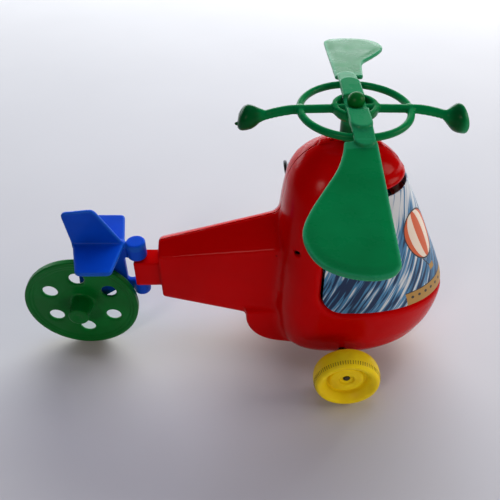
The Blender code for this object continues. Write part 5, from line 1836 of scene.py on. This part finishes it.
@dataclass
class Tail:
    """The blue tail bracket with fin and stabiliser, and the green tail wheel. Sizes in millimetres."""

    swivel_x: float = -33.0
    tongue_low: float = 28.4
    tongue_high: float = 39.0
    running_gap: float = 0.3
    lug_radius: float = 3.4
    upper_lug: float = 6.7
    lower_lug: float = 5.6
    spine_front: float = -37.7
    spine_half: float = 1.2
    stabiliser_z: float = 44.8
    root_chord: float = 18.0
    tip_lead_span: float = 15.6
    tip_trail_span: float = 15.7
    tip_sweep: float = 2.2
    tip_chord: float = 11.7
    sheet_half: float = 0.8
    fin_height: float = 14.8
    fin_sweep: float = 8.5
    fin_chord: float = 11.1
    wheel: tuple[float, float, float] = (-54.9, -4.5, 20.4)
    wheel_radius: float = 20.4
    rim_half: float = 1.4
    rim_depth: float = 1.6
    web_half: float = 0.8
    hole_radius: float = 2.7
    hole_circle: float = 12.2
    holes: int = 6
    boss_radius: float = 3.6
    boss_reach: float = 7.5
    dish_radius: float = 9.2
    dish_floor: float = -0.35
    nub_angle: float = -38.0
    nub_radius: float = 0.5
    pin_radius: float = 1.2
    bracket_low: tuple[float, float, float] = (-57.0, -17.7, 15.0)
    bracket_high: tuple[float, float, float] = (-29.4, 17.7, 60.0)
    step: float = 0.36

    def outlines(self) -> tuple[list[tuple[float, float]], ...]:
        """The side views of spine and fin, and the stabiliser from above.

        Returns:
            The three outlines, with rounded corners.
        """
        lead = self.spine_front + 0.9
        trail = lead - self.root_chord
        upper = self.tongue_high + self.running_gap
        lower = self.tongue_low - self.running_gap
        arm = lower - self.lower_lug + 1.6
        x, z, hub = self.wheel[0], self.wheel[2], 4.6
        spine = [
            (self.swivel_x, upper),
            (self.swivel_x, self.stabiliser_z),
            (trail, self.stabiliser_z),
            (trail + 0.6, self.stabiliser_z - 5.0),
        ]
        for angle in np.radians(np.linspace(100, 290, 14)):
            spine.append((x + hub * math.cos(angle), z + hub * math.sin(angle)))
        spine += [
            (self.spine_front - 4.0, arm),
            (self.swivel_x, arm),
            (self.swivel_x, lower),
            (self.spine_front + 0.6, lower),
            (self.spine_front, lower + 0.8),
            (self.spine_front, upper - 0.8),
            (self.spine_front + 0.6, upper),
        ]
        fin = [
            (lead, self.stabiliser_z - 0.4),
            (lead - self.fin_sweep, self.stabiliser_z + self.fin_height),
            (lead - self.fin_sweep - self.fin_chord, self.stabiliser_z + self.fin_height - 1.2),
            (trail, self.stabiliser_z - 0.4),
        ]
        tip = lead - self.tip_sweep
        half = [
            (lead, 0.0),
            (tip, self.tip_lead_span),
            (tip - self.tip_chord, self.tip_trail_span),
            (trail, 0.0),
        ]
        plane = half + [(a, -b) for a, b in (half[2], half[1])]
        return rounded(spine, 0.7), rounded(fin, 1.7, 6), rounded(plane, 1.7, 6)

    def bracket(self, p: np.ndarray) -> np.ndarray:
        """Distance to the bracket: spine, fin, stabiliser, lugs, pins and wheel stub.

        Args:
            p: Points.

        Returns:
            Distances, negative inside.
        """
        x, y, z = p[:, 0], p[:, 1], p[:, 2]
        spine, fin, plane = self.outlines()
        far = plate(flat_distance(x, z, spine), y, self.spine_half, 0.4)
        far = melt(far, plate(flat_distance(x, z, fin), y, self.sheet_half, 0.55), 0.8)
        far = melt(far, plate(flat_distance(x, y, plane), z - self.stabiliser_z, self.sheet_half, 0.55), 1.1)
        r = np.hypot(x - self.swivel_x, y)
        upper = self.tongue_high + self.running_gap
        lower = self.tongue_low - self.running_gap
        lug = plate(r - self.lug_radius, z - upper - self.upper_lug / 2, self.upper_lug / 2, 0.7)
        far = melt(far, lug, 0.6)
        lug = plate(r - self.lug_radius + 0.4, z - lower + self.lower_lug / 2, self.lower_lug / 2, 0.9)
        far = melt(far, lug, 0.6)
        aside = np.abs(z - (upper + lower) / 2)
        pins = np.maximum(r - self.pin_radius, aside - (upper - lower) / 2 - 0.5)
        pins = np.maximum(pins, (upper - lower) / 2 - 3.0 - aside)
        far = np.minimum(far, pins)
        stub = np.hypot(x - self.wheel[0], z - self.wheel[2]) - self.pin_radius
        stub = np.maximum(stub, np.maximum(y, self.wheel[1] - self.boss_reach + 1.5 - y))
        return np.minimum(far, stub)

    def mark_edges(self, mesh: Mesh) -> None:
        """Writes how near the outline of the sheets each point of the bracket is.

        Args:
            mesh: The cast bracket.
        """
        p = places_of(mesh)
        _, fin, plane = self.outlines()
        on_fin = ramp(-0.9, -0.1, flat_distance(p[:, 0], p[:, 2], fin))
        on_fin *= p[:, 2] > self.stabiliser_z + 1.5
        on_plane = ramp(-0.9, -0.1, flat_distance(p[:, 0], p[:, 1], plane))
        on_plane *= np.abs(p[:, 2] - self.stabiliser_z) < 1.0
        value = 0.8 * np.maximum(on_fin, on_plane)
        mark(mesh, "edge", value)

    def disc(self, p: np.ndarray) -> np.ndarray:
        """Distance to the tail wheel with its rim, holes and boss.

        Args:
            p: Points.

        Returns:
            Distances, negative inside.
        """
        x, z = p[:, 0] - self.wheel[0], p[:, 2] - self.wheel[2]
        out = self.wheel[1] - p[:, 1]
        r = np.hypot(x, z)
        rim, web = self.rim_half, self.web_half
        edge = self.wheel_radius
        inner = -self.wheel[1] - self.spine_half - self.running_gap
        profile = [
            (0.0, self.boss_reach),
            (self.boss_radius, self.boss_reach),
            (self.boss_radius + 0.15, web + 0.6),
            (self.boss_radius + 0.3, self.dish_floor + 0.5),
            (self.boss_radius + 0.8, self.dish_floor),
            (self.boss_radius + 2.2, self.dish_floor + 0.25),
            (self.dish_radius - 0.6, web - 0.12),
            (self.dish_radius + 0.9, web),
            (edge - self.rim_depth - 1.3, web),
            (edge - self.rim_depth - 1.1, web + 0.25),
            (edge - self.rim_depth - 0.1, web + 0.25),
            (edge - self.rim_depth, rim),
            (edge, rim),
            (edge, -rim),
            (edge - self.rim_depth, -rim),
            (edge - self.rim_depth, -web),
            (self.boss_radius, -web),
            (self.boss_radius, -inner),
            (1.5, -inner),
            (1.5, self.boss_reach - 1.2),
            (0.0, self.boss_reach - 1.2),
        ]
        far = flat_distance(r, out, rounded(profile, 0.45))
        turn = 2 * math.pi / self.holes
        angle = np.arctan2(z, x)
        angle = angle - turn * np.floor(angle / turn) - turn / 2
        hole = np.hypot(r * np.cos(angle) - self.hole_circle, r * np.sin(angle)) - self.hole_radius
        far = carve(far, hole, 0.8)
        dimple = np.hypot(r, out - self.boss_reach - 2.6) - 3.0
        far = carve(far, dimple, 0.3)
        turn = math.radians(self.nub_angle)
        beyond = np.hypot(x - edge * math.cos(turn), z - edge * math.sin(turn))
        return melt(far, np.hypot(beyond, out) - self.nub_radius, 0.3)

    def build(self, shop: Workshop) -> None:
        """Casts bracket and wheel and dresses them.

        Args:
            shop: Places each piece.
        """
        box = self.bracket_low, self.bracket_high
        bracket = Mould("tail_fork", self.bracket, *box, self.step).cast()
        self.mark_edges(bracket)
        shop.place("tail_fork", bracket, BLUE_POLYTHENE, "tail", "blue_plastic", "tail_bracket")
        low = (self.wheel[0] - self.wheel_radius, self.wheel[1] - self.boss_reach, 0.0)
        high = (self.wheel[0] + self.wheel_radius, -self.spine_half, 2 * self.wheel_radius)
        disc = Mould("tail_disc", self.disc, low, high, self.step).cast()
        shop.place("tail_disc", disc, WHEEL_POLYTHENE, "tail_wheel", "green_plastic", "tail_wheel")


@dataclass
class FrontWheels:
    """The yellow balloon wheels with their tread, on the steel axle. Sizes in millimetres."""

    axle: tuple[float, float] = (39.4, 11.45)
    radius: float = 11.45
    width: float = 9.6
    track: float = 64.4
    axle_radius: float = 1.1
    axle_end: float = 0.6
    wheel_faces: int = 96
    rod_faces: int = 32
    ticks: int = 84
    tick_length: float = 1.3
    tick_width: float = 0.22
    tick_height: float = 0.30
    tick_circle: float = 0.9664
    tick_rise: float = 2.0
    tick_tilt: float = 72.0

    def profile(self) -> list[tuple[float, float]]:
        """The wheel's half section, with the outer face up.

        Returns:
            Radius and height of its corners.
        """
        r, half = self.radius, self.width / 2
        bore = self.axle_radius + 0.05
        face = [
            (bore, 0.3),
            (0.20 * r, 0.3),
            (0.235 * r, 1.25),
            (0.33 * r, 1.35),
            (0.505 * r, 1.1),
            (0.53 * r, 0.0),
            (0.60 * r, 0.0),
            (0.625 * r, 1.45),
        ]
        crown = threaded(
            [
                (0.645 * r, 1.75),
                (0.70 * r, 2.6),
                (0.77 * r, 3.3),
                (0.845 * r, 3.65),
                (0.91 * r, 3.45),
                (0.962 * r, 2.55),
                (0.992 * r, 1.1),
                (0.9997 * r, -0.4),
                (0.985 * r, -2.0),
                (0.94 * r, -3.5),
                (0.86 * r, -4.5),
                (0.72 * r, -half),
            ],
            5,
        )
        back = [(0.40 * r, -half), (0.34 * r, -half - 0.6), (bore, -half - 0.6)]
        return rounded(face, 0.35, 4)[2:-2] + crown + rounded(back, 0.3, 3)[1:]

    def matrix(self, side: Side) -> Matrix:
        """Where a wheel's axis stands, its outer face up."""
        place = Matrix.Translation((self.axle[0] * MM, side.value * self.track / 2 * MM, self.axle[1] * MM))
        return place @ Matrix.Rotation(-side.value * math.pi / 2, 4, "X")

    def tread_tree(self) -> Tree:
        """The tree that sets the tread's ticks round the shoulder.

        Returns:
            A geometry node tree with named sizes.
        """
        tree = bpy.data.node_groups.new("tread_ticks", "GeometryNodeTree")
        face = tree.interface
        face.new_socket("Geometry", in_out="INPUT", socket_type="NodeSocketGeometry")
        face.new_socket("Geometry", in_out="OUTPUT", socket_type="NodeSocketGeometry")
        for name, kind in (
            ("Ticks", "NodeSocketInt"),
            ("Circle", "NodeSocketFloat"),
            ("Tilt", "NodeSocketFloat"),
            ("Tick Size", "NodeSocketVector"),
            ("Finish", "NodeSocketMaterial"),
        ):
            face.new_socket(name, in_out="INPUT", socket_type=kind)
        sizes = add(tree, "NodeGroupInput").outputs
        circle = add(
            tree, "GeometryNodeMeshCircle", feeds={"Vertices": sizes["Ticks"], "Radius": sizes["Circle"]}
        )
        tick = add(tree, "GeometryNodeMeshCube", feeds={"Size": sizes["Tick Size"]})
        number = add(tree, "GeometryNodeInputIndex")
        share = add(
            tree, "ShaderNodeMath", {"operation": "DIVIDE"}, {0: number.outputs["Index"], 1: sizes["Ticks"]}
        )
        turn = add(tree, "ShaderNodeMath", {"operation": "MULTIPLY"}, {0: share.outputs[0], 1: 2 * math.pi})
        facing = add(tree, "ShaderNodeCombineXYZ", feeds={"Y": sizes["Tilt"], "Z": turn.outputs[0]})
        spin = add(tree, "FunctionNodeEulerToRotation", feeds={"Euler": facing.outputs["Vector"]})
        copies = add(
            tree,
            "GeometryNodeInstanceOnPoints",
            feeds={
                "Points": circle.outputs["Mesh"],
                "Instance": tick.outputs["Mesh"],
                "Rotation": spin.outputs["Rotation"],
            },
        )
        real = add(tree, "GeometryNodeRealizeInstances", feeds={"Geometry": copies.outputs["Instances"]})
        dressed = add(
            tree,
            "GeometryNodeSetMaterial",
            feeds={"Geometry": real.outputs["Geometry"], "Material": sizes["Finish"]},
        )
        add(tree, "NodeGroupOutput", feeds={"Geometry": dressed.outputs["Geometry"]})
        return tree

    def tread(self, tree: Tree, shop: Workshop, side: Side) -> Mesh:
        """The ticks of one wheel as a plain mesh.

        Args:
            tree: The tread's tree.
            shop: Holds the finish.
            side: The wheel's side.

        Returns:
            The mesh, in place.
        """
        name = f"tread_{side.name.lower()}_maker"
        maker = bpy.data.objects.new(name, bpy.data.meshes.new(name))
        bpy.context.scene.collection.objects.link(maker)
        modifier = maker.modifiers.new("tread", "NODES")
        modifier.node_group = tree
        values = {
            "Ticks": self.ticks,
            "Circle": self.tick_circle * self.radius * MM,
            "Tilt": math.radians(self.tick_tilt),
            "Tick Size": (self.tick_length * MM, self.tick_width * MM, self.tick_height * MM),
            "Finish": shop.finish(TREAD_VINYL),
        }
        for item in tree.interface.items_tree:
            if item.in_out == "INPUT" and item.name in values:
                modifier[item.identifier] = values[item.name]
        graph = bpy.context.evaluated_depsgraph_get()
        mesh = bpy.data.meshes.new_from_object(maker.evaluated_get(graph), depsgraph=graph)
        maker.modifiers.remove(modifier)
        bpy.data.objects.remove(maker)
        mesh.transform(self.matrix(side) @ Matrix.Translation((0, 0, self.tick_rise * MM)))
        return mesh

    def build(self, shop: Workshop) -> None:
        """Turns the wheels, sets their tread and turns the axle.

        Args:
            shop: Places each piece.
        """
        tree = self.tread_tree()
        for side, node in ((Side.STARBOARD, "front_wheel_right"), (Side.PORT, "front_wheel_left")):
            name = side.name.lower()
            turned = self.matrix(side)
            mesh = lathe(f"balloon_wheel_{name}", self.profile(), self.wheel_faces, turned, 60.0)
            shop.place(f"balloon_wheel_{name}", mesh, YELLOW_VINYL, "axle", "yellow_plastic", node)
            ticks = self.tread(tree, shop, side)
            # The ticks' dark colour is painted shade.
            shop.place(f"wheel_tread_{name}", ticks, TREAD_VINYL, "axle", "yellow_plastic")
        end = self.track / 2 + self.axle_end
        r = self.axle_radius
        rod = [(0.0, end), (r - 0.35, end), (r - 0.1, end - 0.1), (r, end - 0.35)]
        rod += [(a, -b) for a, b in reversed(rod)]
        place = Matrix.Translation((self.axle[0] * MM, 0, self.axle[1] * MM))
        mesh = lathe("axle_rod", rod, self.rod_faces, place @ Matrix.Rotation(math.pi / 2, 4, "X"))
        # The rod's dark finish is painted shade.
        shop.place("axle_rod", mesh, AXLE_STEEL_PAINTED_SHADE, "axle", "bright_steel", "front_axle")


@dataclass
class WindingKey:
    """The sheet steel winding key on the port side. Sizes in millimetres."""

    at: tuple[float, float] = (23.05, 44.32)
    face: float = 20.2
    half_span: float = 14.5
    wing: float = 11.0
    sheet: float = 1.1
    sleeve_radius: float = 2.4
    sleeve_length: float = 7.8
    tilt: float = 14.0
    bore: float = 1.05
    step: float = 0.3

    def wing_outline(self) -> list[tuple[float, float]]:
        """Both wings, by their place along the span and away from the body.

        Returns:
            The closed outline.
        """
        h, w = self.half_span, self.wing
        one = threaded(
            [
                (0.0, 0.30 * w),
                (0.35 * h, 0.14 * w),
                (0.70 * h, 0.0),
                (0.94 * h, 0.22 * w),
                (h, 0.52 * w),
                (0.92 * h, 0.84 * w),
                (0.66 * h, w),
                (0.34 * h, 0.86 * w),
                (0.0, 0.66 * w),
            ],
            5,
        )
        return one + [(-a, b) for a, b in reversed(one[1:-1])]

    def key(self, p: np.ndarray) -> np.ndarray:
        """Distance to the key: rolled sleeve and flat wings.

        Args:
            p: Points.

        Returns:
            Distances, negative inside.
        """
        x, y, z = p[:, 0] - self.at[0], p[:, 1] - self.face, p[:, 2] - self.at[1]
        r = np.hypot(x, z)
        sleeve = plate(r - self.sleeve_radius, y - self.sleeve_length / 2, self.sleeve_length / 2, 0.4)
        tilt = math.radians(self.tilt)
        along = z * math.cos(tilt) - x * math.sin(tilt)
        across = z * math.sin(tilt) + x * math.cos(tilt)
        start = self.sleeve_length - 0.30 * self.wing - 0.8
        flat = flat_distance(along, y - start, self.wing_outline())
        far = melt(sleeve, plate(flat, across, self.sheet / 2, 0.35), 0.5)
        bore = np.maximum(r - self.bore, y - self.sleeve_length + 1.0)
        return carve(far, bore, 0.1)

    def build(self, shop: Workshop) -> None:
        """Presses the key and dresses it.

        Args:
            shop: Places each piece.
        """
        top = self.half_span + 0.5
        low = (self.at[0] - 5.0, self.face, self.at[1] - top)
        high = (self.at[0] + 5.0, self.face + self.sleeve_length + self.wing, self.at[1] + top)
        mesh = Mould("key_wing", self.key, low, high, self.step).cast()
        shop.place("key_wing", mesh, DARK_STEEL, "winding", "dark_steel", "winding_key")


@dataclass
class Clockwork:
    """The CAD nodes of the clockwork, which keep their solids and take metal finishes."""

    dark: tuple[str, ...] = ("mainspring", "click", "ratchet_wheel")
    brass: tuple[str, ...] = ("wheel", "pinion")

    def build(self, shop: Workshop, nodes: dict[str, Any]) -> None:
        """Dresses each node that no piece replaces.

        Args:
            shop: Holds the finishes, and the nodes that pieces stand for.
            nodes: The frame's CAD objects, by node.
        """
        for name, obj in nodes.items():
            if name in shop.stood_for:
                continue
            finish: WorkedMetal = BRIGHT_STEEL
            if name in self.dark:
                finish = DARK_STEEL
            elif name.endswith(self.brass):
                finish = GEAR_BRASS
            obj.data.materials.clear()
            obj.data.materials.append(shop.finish(finish))
            LOG.info("%s keeps its solid in %s", name, finish.name)


@dataclass
class Lamp:
    """A soft box: where it stands, what it faces, its width and height in metres and its power."""

    name: str
    at: tuple[float, float, float]
    facing: tuple[float, float, float]
    size: tuple[float, float]
    power: float
    colour: str
    mirrored: bool = True

    def build(self) -> None:
        """Hangs the lamp."""
        data = bpy.data.lights.new(self.name, "AREA")
        data.shape = "RECTANGLE"
        data.size, data.size_y = self.size
        data.energy = self.power
        data.color = linear(self.colour)[:3]
        obj = bpy.data.objects.new(self.name, data)
        obj.visible_glossy = self.mirrored
        bpy.context.scene.collection.objects.link(obj)
        aim = Vector(self.facing) - Vector(self.at)
        obj.matrix_world = Matrix.Translation(self.at) @ aim.to_track_quat("-Z", "Y").to_matrix().to_4x4()


@dataclass
class Studio:
    """Pale floor, soft light and the camera."""

    camera_at: tuple[float, float, float] = (0.0058, -0.1571, 0.180)
    camera_turn: tuple[float, float, float] = (48.64, 0.08, -0.35)
    lens: float = 43.09
    sensor: float = 36.0
    floor_half: float = 1.6
    sky: str = "#ffe6d8"
    sky_level: float = 0.05
    lamps: tuple[Lamp, ...] = (
        Lamp("window_back", (0.18, 0.95, 0.42), (0.02, 0.15, 0.03), (1.5, 0.6), 19.4, "#fffdf6", False),
        Lamp("wall_back", (-0.15, 0.95, 0.17), (0.0, 0.0, 0.06), (1.7, 0.26), 5.2, "#f6f8ff"),
        Lamp("ceiling", (0.05, 0.22, 0.80), (0.0, 0.03, 0.0), (0.6, 0.6), 2.25, "#c8d9ff", False),
        Lamp("room_front", (0.55, -0.65, 0.13), (0.02, 0.0, 0.05), (0.8, 0.24), 2.15, "#ffe9dd", False),
        Lamp("window_right", (0.80, 0.0, 0.40), (0.04, 0.0, 0.07), (0.34, 0.30), 1.8, "#ffe9de"),
        Lamp("window_left", (-0.36, -0.62, 0.52), (0.0, 0.0, 0.05), (0.16, 0.16), 1.2, "#ffe9de"),
    )

    def build(self, shop: Workshop) -> None:
        """Lays the floor, hangs the lamps and sets the camera.

        Args:
            shop: Holds the table's finish.
        """
        scene = bpy.context.scene
        scene.view_settings.view_transform = "Standard"
        half = self.floor_half
        mesh = bpy.data.meshes.new("table")
        corners = [(-half, -half, 0), (half, -half, 0), (half, half, 0), (-half, half, 0)]
        mesh.from_pydata(corners, [], [(0, 1, 2, 3)])
        mesh.materials.append(shop.finish(TABLE_PAPER))
        table = bpy.data.objects.new("table", mesh)
        scene.collection.objects.link(table)
        world = bpy.data.worlds.new("room")
        world.use_nodes = True
        sky = world.node_tree.nodes["Background"]
        sky.inputs["Color"].default_value = linear(self.sky)
        sky.inputs["Strength"].default_value = self.sky_level
        scene.world = world
        for lamp in self.lamps:
            lamp.build()
        data = bpy.data.cameras.new("camera")
        data.lens = self.lens
        data.sensor_width = self.sensor
        data.clip_start = 0.01
        camera = bpy.data.objects.new("camera", data)
        camera.location = self.camera_at
        camera.rotation_euler = [math.radians(a) for a in self.camera_turn]
        scene.collection.objects.link(camera)
        scene.camera = camera


def main() -> None:
    """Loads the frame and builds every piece."""
    logging.basicConfig(level=logging.INFO, format="%(message)s")
    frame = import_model()
    shop = Workshop()
    Studio().build(shop)
    body = Body()
    body.build(shop)
    WindscreenCard(body).build(shop)
    Rotor().build(shop)
    Tail().build(shop)
    FrontWheels().build(shop)
    WindingKey().build(shop)
    Clockwork().build(shop, frame["nodes"])
    LOG.info("%d pieces made", shop.made)


if __name__ == "__main__":
    main()
